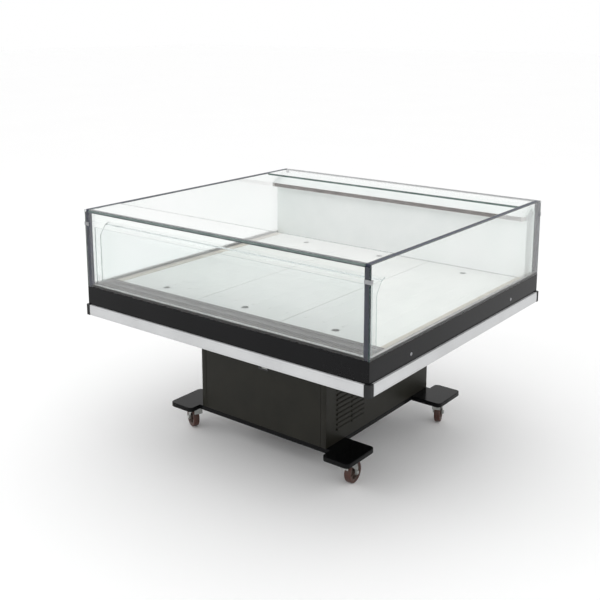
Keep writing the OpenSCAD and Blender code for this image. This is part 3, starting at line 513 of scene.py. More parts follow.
def pane(shape, along, face, outline, holes=()):
    """A sheet of glass whose two faces are clear and whose cut edges are dark."""
    before = set(shape.faces)
    push(shape, outline, face, face + PANE, along, holes, finish=1)
    for f in set(shape.faces) - before:
        f.normal_update()
        if abs(f.normal[AXES[along]]) > 0.9:
            f.material_index = 0


def enamel_foot(shape):
    """Cuts the panes at the rim and gives what is below it the black enamelled finish."""
    bmesh.ops.bisect_plane(shape, geom=[*shape.verts, *shape.edges, *shape.faces],
                           plane_co=(0, 0, rim_top), plane_no=(0, 0, 1))
    for f in shape.faces:
        if f.calc_center_median().z < rim_top:
            f.material_index = 2


def rect(a0, b0, a1, b1):
    return [(a0, b0), (a1, b0), (a1, b1), (a0, b1)]


# %% Cut the panes
SEAL = 3.0
SCREW_R, SCREW_Y, SCREW_Z = 3.06, 354.0, skirt_low + 25
walls = bmesh.new()
for face in (-glass_x, glass_x - PANE):
    drilled = [ring_of(y, SCREW_Z, SCREW_R, 16) for y in (-SCREW_Y, SCREW_Y)]
    pane(walls, "x", face, rect(-glass_y, skirt_low, glass_y, glass_top), drilled)
for face in (-inner_x - PANE, inner_x):
    reach = glass_y - PANE - SEAL
    pane(walls, "x", face, rect(-reach, rim_top, reach, glass_top))
enamel_foot(walls)
place("side_glass", walls, [pane_glass, edge_glass, back_painted], "glass_sides", soften=ARRIS)

ends = bmesh.new()
for face in (-glass_y, glass_y - PANE):
    pane(ends, "y", face, rect(-glass_x + PANE, skirt_low, glass_x - PANE, strip_low))
for face in (-inner_y - PANE, inner_y):
    pane(ends, "y", face, rect(-inner_x, rim_top, inner_x, strip_low))
enamel_foot(ends)
place("front_and_back_glass", ends, [pane_glass, edge_glass, back_painted], "glass_ends",
      soften=ARRIS)

# %% [markdown]
# ## Glass top strips
# A wide strip of thicker glass lies across the top of the front and back walls. It keeps the
# cold air in and people's sleeves out. Its long edges are polished, and a thin bright bead of
# clear glue joins it to the wall below.

# %% Cut the top strips
STRIP_WIDE = 155.0
strip_in = glass_y - STRIP_WIDE
strips = bmesh.new()
for y0, y1 in ((-glass_y, -strip_in), (strip_in, glass_y)):
    before = set(strips.faces)
    push(strips, rect(-inner_x, y0, inner_x, y1), strip_low, glass_top, finish=1)
    for f in set(strips.faces) - before:
        f.normal_update()
        if abs(f.normal.z) > 0.9:
            f.material_index = 0
place("top_strips", strips, [pane_glass, strip_edge], "glass_top_strips", soften=1.2)

# %% [markdown]
# ## Edge seals and spacer bars
# The gap between the panes is closed all round. A dark rubber seal runs up the corners and
# along the top, and a hollow aluminium spacer filled with drying beads lies along the foot.
# The spacer's upper face has a row of small slots that let the beads take up moisture. The
# slots are drawn a little long, so that they still show at this size.

# %% Build the seals and the spacers
SPACER = 9.0
SLOT_STEP, SLOT_LONG, SLOT_WIDE = 16.0, 8.0, 3.0
gap_x = (inner_x + PANE, glass_x - PANE)
gap_y = (inner_y + PANE, glass_y - PANE)
seals = bmesh.new()
for side in (-1, 1):
    x0, x1 = sorted(side * x for x in gap_x)
    wide0, wide1 = sorted((side * inner_x, side * gap_x[1]))
    for y0, y1 in ((-gap_y[1], -gap_y[1] + SEAL), (gap_y[1] - SEAL, gap_y[1])):
        block(seals, (wide0, y0, rim_top), (wide1, y1, glass_top))
    block(seals, (x0, -gap_y[1] + SEAL, glass_top - SEAL), (x1, gap_y[1] - SEAL, glass_top))
    y0, y1 = sorted(side * y for y in gap_y)
    for x0, x1 in ((-inner_x, -inner_x + SEAL), (inner_x - SEAL, inner_x)):
        block(seals, (x0, y0, rim_top), (x1, y1, strip_low))
    block(seals, (-inner_x + SEAL, y0, strip_low - SEAL), (inner_x - SEAL, y1, strip_low))
place("edge_seals", seals, seal_rubber, "glass_seals", soften=0.5)


def slot_row(low, high, middle, along_first):
    """The outlines of small slots in a row."""
    count = int((high - low - SLOT_STEP) // SLOT_STEP)
    start = (low + high) / 2 - (count - 1) * SLOT_STEP / 2
    rows = []
    for i in range(count):
        t = start + i * SLOT_STEP
        box = (t - SLOT_LONG / 2, middle - SLOT_WIDE / 2, t + SLOT_LONG / 2, middle + SLOT_WIDE / 2)
        outline = rounded(*box, SLOT_WIDE / 2 - 0.1, 3)
        rows.append(outline if along_first else [(b, a) for a, b in outline])
    return rows


spacers = bmesh.new()
foot, top = rim_top, rim_top + SPACER
for side in (-1, 1):
    x0, x1 = sorted(side * x for x in gap_x)
    ends_y = (-gap_y[1] + SEAL, gap_y[1] - SEAL)
    push(spacers, rect(x0, ends_y[0], x1, ends_y[1]), top - 1, top, "z",
         slot_row(*ends_y, (x0 + x1) / 2, False))
    block(spacers, (x0, ends_y[0], foot), (x1, ends_y[1], top - 1.4))
    y0, y1 = sorted(side * y for y in gap_y)
    ends_x = (-inner_x + SEAL, inner_x - SEAL)
    push(spacers, rect(ends_x[0], y0, ends_x[1], y1), top - 1, top, "z",
         slot_row(*ends_x, (y0 + y1) / 2, True))
    block(spacers, (ends_x[0], y0, foot), (ends_x[1], y1, top - 1.4))
place("spacer_bars", spacers, spacer_metal, "glass_seals", soften=0.3)

# %% [markdown]
# ## Corner clips
# A small bent plate of steel holds the two panes at each corner while the glue sets, and it
# stays there. It wraps round the corner, with a rivet on each leg.

# %% Bend the clips
clip_low, clip_high = mm_box("glass_clips")
CLIP_LONG, CLIP_SHORT, CLIP_T = 22.0, 11.0, clip_high[0] - glass_x
clips = bmesh.new()
for sx, sy in CORNERS:
    def corner(x, y):
        return sx * x, sy * y
    leg = [(glass_x - CLIP_LONG, glass_y), (glass_x, glass_y), (glass_x, glass_y - CLIP_SHORT),
           (glass_x + CLIP_T, glass_y - CLIP_SHORT), (glass_x + CLIP_T, glass_y + CLIP_T),
           (glass_x - CLIP_LONG, glass_y + CLIP_T)]
    push(clips, [corner(*p) for p in leg], clip_low[2], clip_high[2])
    middle = (clip_low[2] + clip_high[2]) / 2
    for spot_along in (6, 16):
        rivet = [(0, 0), (2.2, 0), (1.8, 0.7), (0, 1.0)]
        base = (sx * (glass_x - spot_along), sy * (glass_y + CLIP_T), middle)
        turn(clips, [(r, sy * t) for r, t in rivet], base, "y", 12)
place("corner_clips", clips, bolt_steel, "glass_clips", soften=0.35)

# %% [markdown]
# ## The black skirt and the bumper
# The band under the clear glass is black enamel behind the outer pane, so it shines like
# glass. The bumper under it is an anodised extrusion with a crowned face, a groove near each
# edge and rounded corners, cut to length between four moulded caps. The caps are ribbed up
# and down so that a trolley that hits one slides off.

# %% Dress the skirt and extrude the bumper
dress("skirt_panels", back_painted, 0.4)
bump_low, bump_high = mm_box("bumper_rails")
tub_x, tub_y = [round(c, 3) for c in mm_box("tub_casing")[1][:2]]
out_x, out_y = bump_high[0], bump_high[1]
CAP = 22.0
GROOVE = 0.8


def bumper_profile(inside, outside):
    """The section of the extrusion from its back to its crowned face."""
    z0, z1 = bump_low[2], bump_high[2]
    face = []
    for share, t in ((-0.5, 1.2), (-0.46, 0.45), (-0.40, 0.15), (-0.36, 0.0), (-0.345, GROOVE),
                     (-0.325, GROOVE), (-0.31, 0.0), (0.0, -0.0), (0.31, 0.0), (0.325, GROOVE),
                     (0.345, GROOVE), (0.36, 0.0), (0.40, 0.15), (0.46, 0.45), (0.5, 1.2)):
        face.append((outside - t, (z0 + z1) / 2 + share * (z1 - z0)))
    return [(inside, z1), (inside, z0), *face]


rails = bmesh.new()
for side in (-1, 1):
    push(rails, [(side * x, z) for x, z in bumper_profile(tub_x, out_x)],
         -out_y + CAP, out_y - CAP, "y")
    push(rails, [(side * y, z) for y, z in bumper_profile(tub_y, out_y)],
         -out_x + CAP, out_x - CAP, "x")
place("bumper_rails_extruded", rails, bumper_skin, "bumper_rails", soften=0.3, sharp=50)

# %% Mould the corner caps
RIB_STEP, RIB_DEEP, CAP_R = 3.2, 0.7, 8.0
caps = bmesh.new()
outline = [(tub_x, out_y - CAP), (out_x - RIB_DEEP, out_y - CAP)]
ribs = int((CAP - CAP_R) // RIB_STEP)
for i in range(ribs):
    y = out_y - CAP + 1.2 + i * RIB_STEP
    outline += [(out_x, y), (out_x, y + RIB_STEP * 0.6), (out_x - RIB_DEEP, y + RIB_STEP * 0.65),
                (out_x - RIB_DEEP, y + RIB_STEP * 0.95)]
outline += ring_of(out_x - CAP_R, out_y - CAP_R, CAP_R, 9, 0, 90)
for i in reversed(range(ribs)):
    x = out_x - CAP + 1.2 + i * RIB_STEP
    outline += [(x + RIB_STEP * 0.95, out_y - RIB_DEEP), (x + RIB_STEP * 0.65, out_y - RIB_DEEP),
                (x + RIB_STEP * 0.6, out_y), (x, out_y)]
outline += [(out_x - CAP, out_y - RIB_DEEP), (out_x - CAP, tub_y), (tub_x, tub_y)]
for sx, sy in CORNERS:
    push(caps, [(sx * x, sy * y) for x, y in outline], bump_low[2] - 0.4, bump_high[2] + 0.4)
place("bumper_caps_ribbed", caps, cap_plastic, "bumper_caps", soften=0.25, sharp=40)

# %% [markdown]
# # The cold air loop
# ## The duct and its hood
# Cold air rises behind a white panel at the back and leaves through a honeycomb that faces the
# front. The hood over it is one bent sheet with a soft ridge. Bending a sheet gives an even
# radius, so the section is drawn with an arc at the ridge and then drawn out to full width.

# %% Bend the hood
dress("duct_panel", duct_white, 0.5)
dress("duct_back_panel", duct_white, 1.0)
hood_low, hood_high = mm_box("duct_hood")
comb_low, comb_high = mm_box("air_honeycomb")
panel_y = mm_box("duct_back_panel")
ridge_y, ridge_z = 542.0, hood_high[2]
back_y0, back_y1 = panel_y[0][1], panel_y[1][1]
foot_z = hood_low[2]
nose_y, nose_z = comb_low[1], comb_high[2]


def bend(points, corner, radius, count=9):
    """Replaces one corner of a path with a smooth curve."""
    a, b, c = (Vector(points[corner + k]) for k in (-1, 0, 1))
    one, two = b + (a - b).normalized() * radius, b + (c - b).normalized() * radius
    curve = []
    for i in range(count):
        t = i / (count - 1)
        curve.append(tuple(one * (1 - t) ** 2 + b * 2 * t * (1 - t) + two * t * t))
    return points[:corner] + curve + points[corner + 1 :]


outer = [(back_y1, foot_z), (back_y1, foot_z + 10), (ridge_y, ridge_z), (nose_y, nose_z + 2.5),
         (nose_y, nose_z)]
outer = bend(bend(outer, 2, 12.0), 1, 6.0)
inner = [(comb_high[1], nose_z), (ridge_y - 4, ridge_z - 10), (back_y0, foot_z + 10),
         (back_y0, foot_z)]
inner = bend(inner, 1, 9.0)
hood = bmesh.new()
push(hood, outer + inner, -inner_x, inner_x, "x")
place("duct_hood_bent", hood, duct_white, "duct_hood", soften=0.4, sharp=40)

# %% [markdown]
# ## The honeycomb
# A honeycomb of thin plastic straightens the air into a smooth curtain. The real cells are
# about 3 mm across. They are 6 mm here, as fine as still shows, and each one is a true hole
# through the band.

# %% Cut the honeycomb's cells
CELL = 6.0
comb_mid = (comb_low[2] + comb_high[2]) / 2
comb = bmesh.new()
columns = int((2 * inner_x - 3 * CELL) // CELL)
cells = []
for row in (-1, 0, 1):
    for i in range(columns):
        x = (i - (columns - 1) / 2 + (0.5 if row else 0)) * CELL
        cells.append(ring_of(x, comb_mid + row * CELL * 0.79, CELL * 0.45, 6, 30, 390))
push(comb, rect(-inner_x, comb_low[2], inner_x, comb_high[2]), comb_low[1], comb_high[1], "y",
     cells)
place("air_honeycomb_cells", comb, honeycomb_plastic, "air_honeycomb")
print(len(cells), "cells")

# %% [markdown]
# ## The return grille and the clear baffle
# The air curtain is drawn back in at the front through a comb of narrow slots, pressed in a
# taupe sheet in two rows. Behind the glass a bent sheet of clear acrylic keeps the goods out
# of the slots. Its long edges catch the light, and they are a finish of their own.

# %% Press the grille
SLOT_PITCH, SLOT_WIDTH = 10.0, 6.2
grille_low, grille_high = mm_box("return_grille")
front_y, back_y = grille_low[1], grille_high[1]
grille = bmesh.new()
slots = []
count = int((2 * inner_x - 4 * SLOT_PITCH) // SLOT_PITCH)
for i in range(count):
    x = (i - (count - 1) / 2) * SLOT_PITCH
    for y0, y1 in ((front_y + 9, front_y + 38), (back_y - 38, back_y - 9)):
        slots.append(rounded(x - SLOT_WIDTH / 2, y0, x + SLOT_WIDTH / 2, y1, 2.0, 3))
push(grille, rect(-inner_x, front_y, inner_x, back_y), grille_high[2] - 2, grille_high[2], "z",
     slots)
for y0 in (front_y, back_y - 2):
    block(grille, (-inner_x, y0, rim_top), (inner_x, y0 + 2, grille_high[2] - 1))
turn_over = [(back_y - 3, grille_high[2] - 2), (back_y, grille_high[2] - 2),
             (back_y, grille_high[2] + 1.2), (back_y - 1, grille_high[2] + 2),
             (back_y - 3, grille_high[2] + 0.5)]
push(grille, turn_over, -inner_x, inner_x, "x")
place("return_grille_slotted", grille, grille_paint, "return_grille", soften=0.2)
print(len(slots), "slots")

# %% Bend the baffle
baffle_low, baffle_high = mm_box("front_baffle")
SHEET = 3.0
stand_y, outer_y = -533.0, baffle_low[1]
turn_z, brow_z = rim_top + 187, baffle_high[2]
inside = [(stand_y, baffle_low[2]), (stand_y, turn_z), (stand_y + 26, brow_z - 5),
          (stand_y + 44, brow_z)]
inside = bend(bend(inside, 2, 8), 1, 10)
outside = [(y + SHEET * (0.4 + 0.6 * (z < turn_z)), z - SHEET * (z >= turn_z)) for y, z in inside]
baffle = bmesh.new()
push(baffle, inside + outside[::-1], -inner_x, inner_x, "x")
push(baffle, rect(outer_y, baffle_low[2], outer_y + SHEET, brow_z - 10), -inner_x, inner_x, "x")
for face in baffle.faces:
    face.normal_update()
    small = min(e.calc_length() for e in face.edges) < SHEET * 1.2
    top = face.normal.z > 0.8 and small and face.calc_center_median().z > turn_z + 5
    face.material_index = 1 if abs(face.normal.x) > 0.9 or top else 0
place("front_baffle_bent", baffle, [acrylic, acrylic_edge], "front_baffle", soften=0.3)

# %% [markdown]
# ## The deck
# Three white steel trays carry the goods. Each one has its edges turned down, rounded corners,
# two finger holes for lifting it, and shallow pressed beads that keep the sheet from drumming.
# Each tray can be lifted by itself, so each is a piece on its own body.

# %% Press the deck trays
FINGER_R, BEADS = 13.0, 5
for tray in ("deck_tray_left", "deck_tray_centre", "deck_tray_right"):
    (x0, y0, z0), (x1, y1, z1) = mm_box(tray)
    middle = (x0 + x1) / 2
    holes = [ring_of(middle, y, FINGER_R, 28) for y in (y0 + 70, y1 - 70)]
    sheet = bmesh.new()
    push(sheet, rounded(x0, y0, x1, y1, 4), z1 - 1.5, z1, "z", holes)
    push(sheet, rounded(x0, y0, x1, y1, 4), z0, z1 - 0.5, "z",
         [rounded(x0 + 1.5, y0 + 1.5, x1 - 1.5, y1 - 1.5, 3)])
    for i in range(BEADS):
        x = x0 + (i + 0.5) * (x1 - x0) / BEADS
        bead = [(x - 7, z1 - 0.4), (x + 7, z1 - 0.4), (x + 4, z1 + 0.5), (x, z1 + 0.8),
                (x - 4, z1 + 0.5)]
        push(sheet, bead, y0 + 110, y1 - 110, "y")
    place(tray + "_pressed", sheet, deck_paint, tray, body=tray, soften=0.4)

# %% [markdown]
# ## The tub
# The tub is three skins: a painted outer case, cream foam, and a stainless liner. Only the
# case and the rails at the rim are seen, but each one has its own finish, so that the tub
# looks right with its trays lifted out.

# %% Dress the tub
dress("tub_casing", tub_satin, 1.5)
dress("tub_insulation", foam_cells, 0)
dress("tub_liner", stainless, 0.5)
dress("deck_supports", galvanised, 0.4)
dress("rim_rails", rail_paint, 0.6)
print("tub dressed")

# %% [markdown]
# # The machine housing
# ## Panels with hidden joints
# The housing is made of folded steel panels over corner posts. The side panels wrap round each
# corner by a narrow return, and the front and back panels sit between them, which leaves a
# fine dark joint near each corner. The edges are softly folded, so they are rounded.

# %% Measure the housing and dress its frame
house_low, house_high = mm_box("housing_right")
hx, hy = house_high[0], house_high[1]
base_top, tub_low = house_low[2], house_high[2]
SHEET_T, RETURN = 1.5, 22.0
dress("housing_frame", frame_primer, 0.8)
print("housing", 2 * hx, "by", 2 * hy, "by", tub_low - base_top, "mm")

# %% [markdown]
# ## Louvred side panels
# Air for the condenser comes in through two columns of louvres. Each one is a slot with its
# upper lip pressed outwards, so that a splash runs over it. The lip is a thin curved hood with
# closed ends, drawn as a half section and pushed along the slot.

# %% Press the side panels
SLOT_HIGH, SLOT_STEP_Z, SLOT_RUN, SLOT_ROWS = 8.0, 18.0, 75.0, 13
COLUMN_STEP, FIRST_Y, FIRST_Z = SLOT_RUN + 14, -275.0, 42.0
LIP = 4.5


def louvre(shape, side, y0, z0):
    """A pressed hood over the upper half of a slot."""
    face, top = side * hx, z0 + SLOT_HIGH
    hood = [(0, top + 3), (LIP * 0.55, top + 1.5), (LIP * 0.9, top - 1), (LIP, z0 + 3.0),
            (LIP - 1, z0 + 3.0), (LIP * 0.9 - 1.1, top - 2), (0, top + 0.5)]
    push(shape, [(face + side * out, z) for out, z in hood], y0 - 1, y0 + SLOT_RUN + 1, "y")
    for y in (y0 - 2, y0 + SLOT_RUN + 1):
        block(shape, (min(face, face + side * (LIP - 0.6)), y, z0 + 3.2),
              (max(face, face + side * (LIP - 0.6)), y + 1, top + 1.0))


for name, side in (("housing_left", -1), ("housing_right", 1)):
    panel = bmesh.new()
    slots = []
    for column in (0, 1):
        for row in range(SLOT_ROWS):
            y0 = FIRST_Y + column * COLUMN_STEP
            z0 = base_top + FIRST_Z + row * SLOT_STEP_Z
            slots.append(rounded(y0, z0, y0 + SLOT_RUN, z0 + SLOT_HIGH, 3.0, 3))
            louvre(panel, side, y0, z0)
    start, end = sorted((side * hx, side * (hx - SHEET_T)))
    push(panel, rect(-hy + 1.2, base_top, hy - 1.2, tub_low), start, end, "x", slots)
    for sy in (-1, 1):
        x0, x1 = sorted((side * hx, side * (hx - RETURN)))
        y0, y1 = sorted((sy * hy, sy * (hy - SHEET_T)))
        push(panel, rounded(x0, y0, x1, y1, 0.7, 3), base_top, tub_low)
    place(name + "_louvred", panel, housing_satin, name, soften=0.35)

# %% [markdown]
# ## Front and back panels
# The front panel is plain, with its long edges folded back, and it has one small opening for
# the temperature display. The back panel has rows of slots for the warm air, the opening of
# the condensate tray, and the cable's gland.

# %% Cut the front and back panels
ctrl_low, ctrl_high = mm_box("controller")
ctrl_x, ctrl_z = (ctrl_low[0] + ctrl_high[0]) / 2, (ctrl_low[2] + ctrl_high[2]) / 2
panel_x = hx - RETURN - 1
front = bmesh.new()
window_hole = rounded(ctrl_low[0] + 3, ctrl_low[2] + 3, ctrl_high[0] - 3, ctrl_high[2] - 3, 2)
push(front, rect(-panel_x, base_top, panel_x, tub_low), -hy, -hy + SHEET_T, "y", [window_hole])
for side in (-1, 1):
    x0, x1 = sorted((side * panel_x, side * (panel_x - SHEET_T)))
    block(front, (x0, -hy + 0.4, base_top), (x1, -hy + 14, tub_low))
place("housing_front_folded", front, housing_satin, "housing_front", soften=0.5)

back = bmesh.new()
tray_low, tray_high = mm_box("condensate_tray")
gland_low, gland_high = mm_box("cable_gland")
gland_x, gland_z = (gland_low[0] + gland_high[0]) / 2, (gland_low[2] + gland_high[2]) / 2
tray_hole = rect(tray_low[0] - 1, base_top + 0.5, tray_high[0] + 1, tray_high[2] + 0.8)
vents = [rounded(c * COLUMN_STEP - SLOT_RUN / 2, base_top + 120 + r * SLOT_STEP_Z,
                 c * COLUMN_STEP + SLOT_RUN / 2, base_top + 128 + r * SLOT_STEP_Z, 3.0, 3)
         for c in (-1, 0, 1) for r in range(8)]
push(back, rect(-panel_x, base_top, panel_x, tub_low), hy - SHEET_T, hy, "y",
     [tray_hole, ring_of(gland_x, gland_z, 11.2, 28), *vents])
place("housing_back_vented", back, housing_satin, "housing_back", soften=0.35)

# %% [markdown]
# ## The temperature display
# The display is a small moulded bezel clipped into the front panel. It has a recessed light
# grey window, and two round buttons beside it. No digits are shown, since it is switched off.

# %% Mould the display
bezel = bmesh.new()
face_y = ctrl_low[1]
outline = rounded(ctrl_low[0], ctrl_low[2], ctrl_high[0], ctrl_high[2], 4)
lens = rounded(ctrl_x - 8, ctrl_low[2] + 5, ctrl_high[0] - 5, ctrl_high[2] - 5, 2)
push(bezel, outline, face_y, -hy, "y", [lens])
block(bezel, (ctrl_low[0] + 3.6, -hy, ctrl_low[2] + 3.6),
      (ctrl_high[0] - 3.6, ctrl_high[1], ctrl_high[2] - 3.6))
push(bezel, lens, -hy - 0.5, -hy - 0.1, "y", finish=1)
for z in (ctrl_z - 8, ctrl_z + 8):
    turn(bezel, [(0, 0), (2.6, 0), (2.6, -0.5), (2.1, -0.9), (0, -0.9)],
         (ctrl_low[0] + 9, face_y, z), "y", 20)
place("display_bezel", bezel, [black_moulding, window_plastic], "controller", soften=0.3)

# %% [markdown]
# ## The cable gland
# The power cable passes through a threaded nylon gland at the back. It has a six-sided
# body, a rounded clamping nut and a flange on each side of the sheet. The bore is open.

# %% Mould the gland
gland = bmesh.new()
bore, body = 4.5, 11.0
turn(gland, [(bore, hy - 12), (body, hy - 12), (body, hy + 6), (bore, hy + 6)],
     (gland_x, 0, gland_z), "y", 32)
turn(gland, [(body - 0.4, hy), (body + 5, hy), (body + 5, hy + 4.5), (body + 4, hy + 6),
             (body - 0.4, hy + 6)], (gland_x, 0, gland_z), "y", 6)
turn(gland, [(body - 0.4, hy - SHEET_T - 6), (body + 5, hy - SHEET_T - 6),
             (body + 5, hy - SHEET_T), (body - 0.4, hy - SHEET_T)], (gland_x, 0, gland_z), "y", 6)
turn(gland, [(bore, hy + 6), (body - 0.5, hy + 6), (body, hy + 8), (body - 0.6, hy + 12),
             (body - 3.5, hy + 14), (bore, hy + 14)], (gland_x, 0, gland_z), "y", 32)
place("cable_gland_moulded", gland, black_moulding, "cable_gland", soften=0.4)

# %% [markdown]
# # The base and the castors
# ## The foot plates
# The base is one steel pressing: a flat plate with its edge turned down, with a rounded pad at
# each corner that reaches out past the housing. Its rim is heavier than the sheet, so the
# outline is pushed twice, once for the plate and once for the turned-down edge.

# %% Press the base
base_high = mm_box("base_tray")[1]
pad_x, pad_y = base_high[0], base_high[1]
PAD_L, PAD_W, PAD_R = 109.0, 164.0, 16.0
PLATE_T = 3.0


def base_outline(inset):
    """The outline of the whole base, drawn for one quarter and mirrored three times."""
    r = PAD_R - inset
    px, py = pad_x - inset, pad_y - inset
    x_in, y_in = pad_x - PAD_L + inset, pad_y - PAD_W + inset
    hx_in, hy_in = hx - inset, hy - inset
    quarter = [(hx_in, 0), (hx_in, y_in), *ring_of(px - r, y_in + r, r, 7, -90, 0),
               *ring_of(px - r, py - r, r, 7, 0, 90), *ring_of(x_in + r, py - r, r, 7, 90, 180),
               (x_in, hy_in), (0, hy_in)]
    mirrored = [(-x, y) for x, y in quarter[::-1]][1:]
    half = quarter + mirrored
    return half[:-1] + [(x, -y) for x, y in half[::-1]][:-1]


base = bmesh.new()
push(base, base_outline(0), base_high[2] - PLATE_T, base_high[2])
push(base, base_outline(0), base_high[2] - 17, base_high[2] - PLATE_T + 0.2, "z",
     [base_outline(PLATE_T)])
cas_x, cas_y = pad_x - PAD_L / 2, pad_y - PAD_W / 2
for sx, sy in CORNERS:
    x, y = sx * cas_x, sy * cas_y
    push(base, rounded(x - 45, y - 45, x + 45, y + 45, 4), base_high[2] - 17,
         base_high[2] - PLATE_T)
place("base_pressing", base, foot_enamel, "base_tray", soften=1.4)

# %% [markdown]
# ## Castor plates and bolts
# Each castor hangs on a pressed square plate with four hexagon bolts and washers. The king pin
# runs down from it. Below, a pressed fork swivels on a ball race under the plate.

# %% Press the plates and turn the bolts
plate_low = mm_box("castor_plates")[0]
PLATE, BOLT_GAP = 84.0, 64.0
base_under = base_high[2] - 17
plates, bolts = bmesh.new(), bmesh.new()
for sx, sy in CORNERS:
    x, y = sx * cas_x, sy * cas_y
    spots = [(x + a * BOLT_GAP / 2, y + b * BOLT_GAP / 2) for a in (-1, 1) for b in (-1, 1)]
    push(plates, rounded(x - PLATE / 2, y - PLATE / 2, x + PLATE / 2, y + PLATE / 2, 9),
         base_under - 4, base_under, "z", [ring_of(*s, 4.5, 16) for s in spots])
    turn(plates, [(0, base_under - 3), (21, base_under - 3.5), (19, base_under - 5.2),
                  (5, base_under - 5.2), (5, plate_low[2] + 4), (9, plate_low[2] + 3.4),
                  (9, plate_low[2] + 1), (8, plate_low[2]), (0, plate_low[2])], (x, y, 0))
    for a, b in spots:
        under = base_under - 4
        turn(bolts, [(0, under), (8.2, under), (8.2, under - 1.2), (0, under - 1.2)],
             (a, b, 0), "z", 24)
        turn(bolts, [(0, under - 1.2), (6.5, under - 1.2), (6.5, under - 4.7),
                     (5.6, under - 5.3), (0, under - 5.3)], (a, b, 0), "z", 6)
        turn(bolts, [(0, under), (4, under), (4, base_high[2] - PLATE_T - 2),
                     (0, base_high[2] - PLATE_T - 2)], (a, b, 0), "z", 16)
for side in (-1, 1):
    for y in (-SCREW_Y, SCREW_Y):
        face = side * glass_x
        head = [(0, 0), (6, 0), (5.7, 0.8), (4.2, 1.7), (2.6, 2.0), (2.4, 1.0), (0, 1.0)]
        turn(bolts, [(r, face + side * t) for r, t in head], (0, y, SCREW_Z), "x", 24)
        turn(bolts, [(0, side * tub_x), (3, side * tub_x), (3, face), (0, face)],
             (0, y, SCREW_Z), "x", 16)
place("castor_plates_pressed", plates, zinc_plate, "castor_plates", soften=0.4)
place("bolts_and_screws", bolts, bolt_steel, "fasteners", soften=0.25)

# %% [markdown]
# ## The castors
# Each castor is one pressed fork, one wheel and one brake pedal, and each of these turns on its
# own, so each is a piece on its own body. A castor is drawn once with its wheel trailing
# along X, and then set at its own corner and angle. The cheeks narrow down to the axle, the crown
# is a dished disc over a ball race, and the axle is a bolt with a nut.

# %% Where the castors stand
CASTORS = {"fl": (-1, -1, 155), "fr": (1, -1, 94), "bl": (-1, 1, 60), "br": (1, 1, 110)}
TRAIL, WHEEL_R, WHEEL_W, LEG_IN, LEG_T = 30.0, 40.0, 24.0, 14.0, 3.0
CROWN_Z, CROWN_R, RACE_R = 92.7, 26.0, 24.0
AXLE_R, BOSS_R = 5.0, 10.0
PIN_X, PIN_Z = 16.0, 86.0


def corner_of(code):
    """The matrix that sets a castor at its corner."""
    sx, sy, angle = CASTORS[code]
    return (Matrix.Translation((sx * cas_x, sy * cas_y, 0))
            @ Matrix.Rotation(math.radians(angle), 4, "Z"))


# %% Press the forks
def draw_fork():
    fork = bmesh.new()
    for side in (-1, 1):
        inner_face, outer_face = side * LEG_IN, side * (LEG_IN + LEG_T)
        cheek = [(-18, CROWN_Z + 4), (-19, CROWN_Z - 2), (TRAIL - BOSS_R - 2, 56),
                 *ring_of(TRAIL, WHEEL_R, BOSS_R, 14, 165, 372),
                 (TRAIL + BOSS_R - 0.5, 56), (26, CROWN_Z - 4), (25, CROWN_Z + 4)]
        holes = [ring_of(TRAIL, WHEEL_R, AXLE_R + 0.06, 20), ring_of(PIN_X, PIN_Z, 2.6, 14)]
        push(fork, cheek, *sorted((inner_face, outer_face)), "y", holes)
        rim = [(0, outer_face * 0.985), (8.6, outer_face * 0.985), (8.6, outer_face + side * 1.2),
               (0, outer_face + side * 1.2)]
        turn(fork, rim, (TRAIL, 0, WHEEL_R), "y", 28)
        nut = [(0, 1.2), (7.6, 1.2), (7.6, 4.2), (6.6, 5), (0, 5)]
        turn(fork, [(r, outer_face + side * t) for r, t in nut], (TRAIL, 0, WHEEL_R), "y", 6)
    turn(fork, [(0, -LEG_IN - 1), (AXLE_R, -LEG_IN - 1), (AXLE_R, LEG_IN + 1), (0, LEG_IN + 1)],
         (TRAIL, 0, WHEEL_R), "y", 20)
    dish = [(5.06, CROWN_Z), (CROWN_R - 4, CROWN_Z), (CROWN_R, CROWN_Z + 1.4),
            (CROWN_R, CROWN_Z + 4.6), (CROWN_R - 1.4, CROWN_Z + 6), (RACE_R - 2, CROWN_Z + 6.2),
            (RACE_R, CROWN_Z + 7.6), (RACE_R, CROWN_Z + 9.6), (RACE_R - 1.6, CROWN_Z + 11),
            (5.06, CROWN_Z + 11)]
    turn(fork, dish, (0, 0, 0), "z", 48)
    hook = [(-30, CROWN_Z - 22), (-27, CROWN_Z - 22), (-27, CROWN_Z - 4), (-25, CROWN_Z),
            (-14, CROWN_Z), (-14, CROWN_Z + 6), (-28, CROWN_Z + 6), (-30, CROWN_Z + 4)]
    push(fork, hook, -LEG_IN - 2, LEG_IN + 2, "y")
    return fork


for code in CASTORS:
    place(f"castor_fork_{code}_pressed", draw_fork(), zinc_plate, f"castor_fork_{code}",
          body=f"castor_{code}", soften=0.6, at=corner_of(code))

# %% [markdown]
# ## Wheels
# The hub is moulded nylon with a thin web, six ribs on each side and a thick rim. The tyre is
# cast on, with a softly crowned tread and round shoulders. Both are turned profiles.

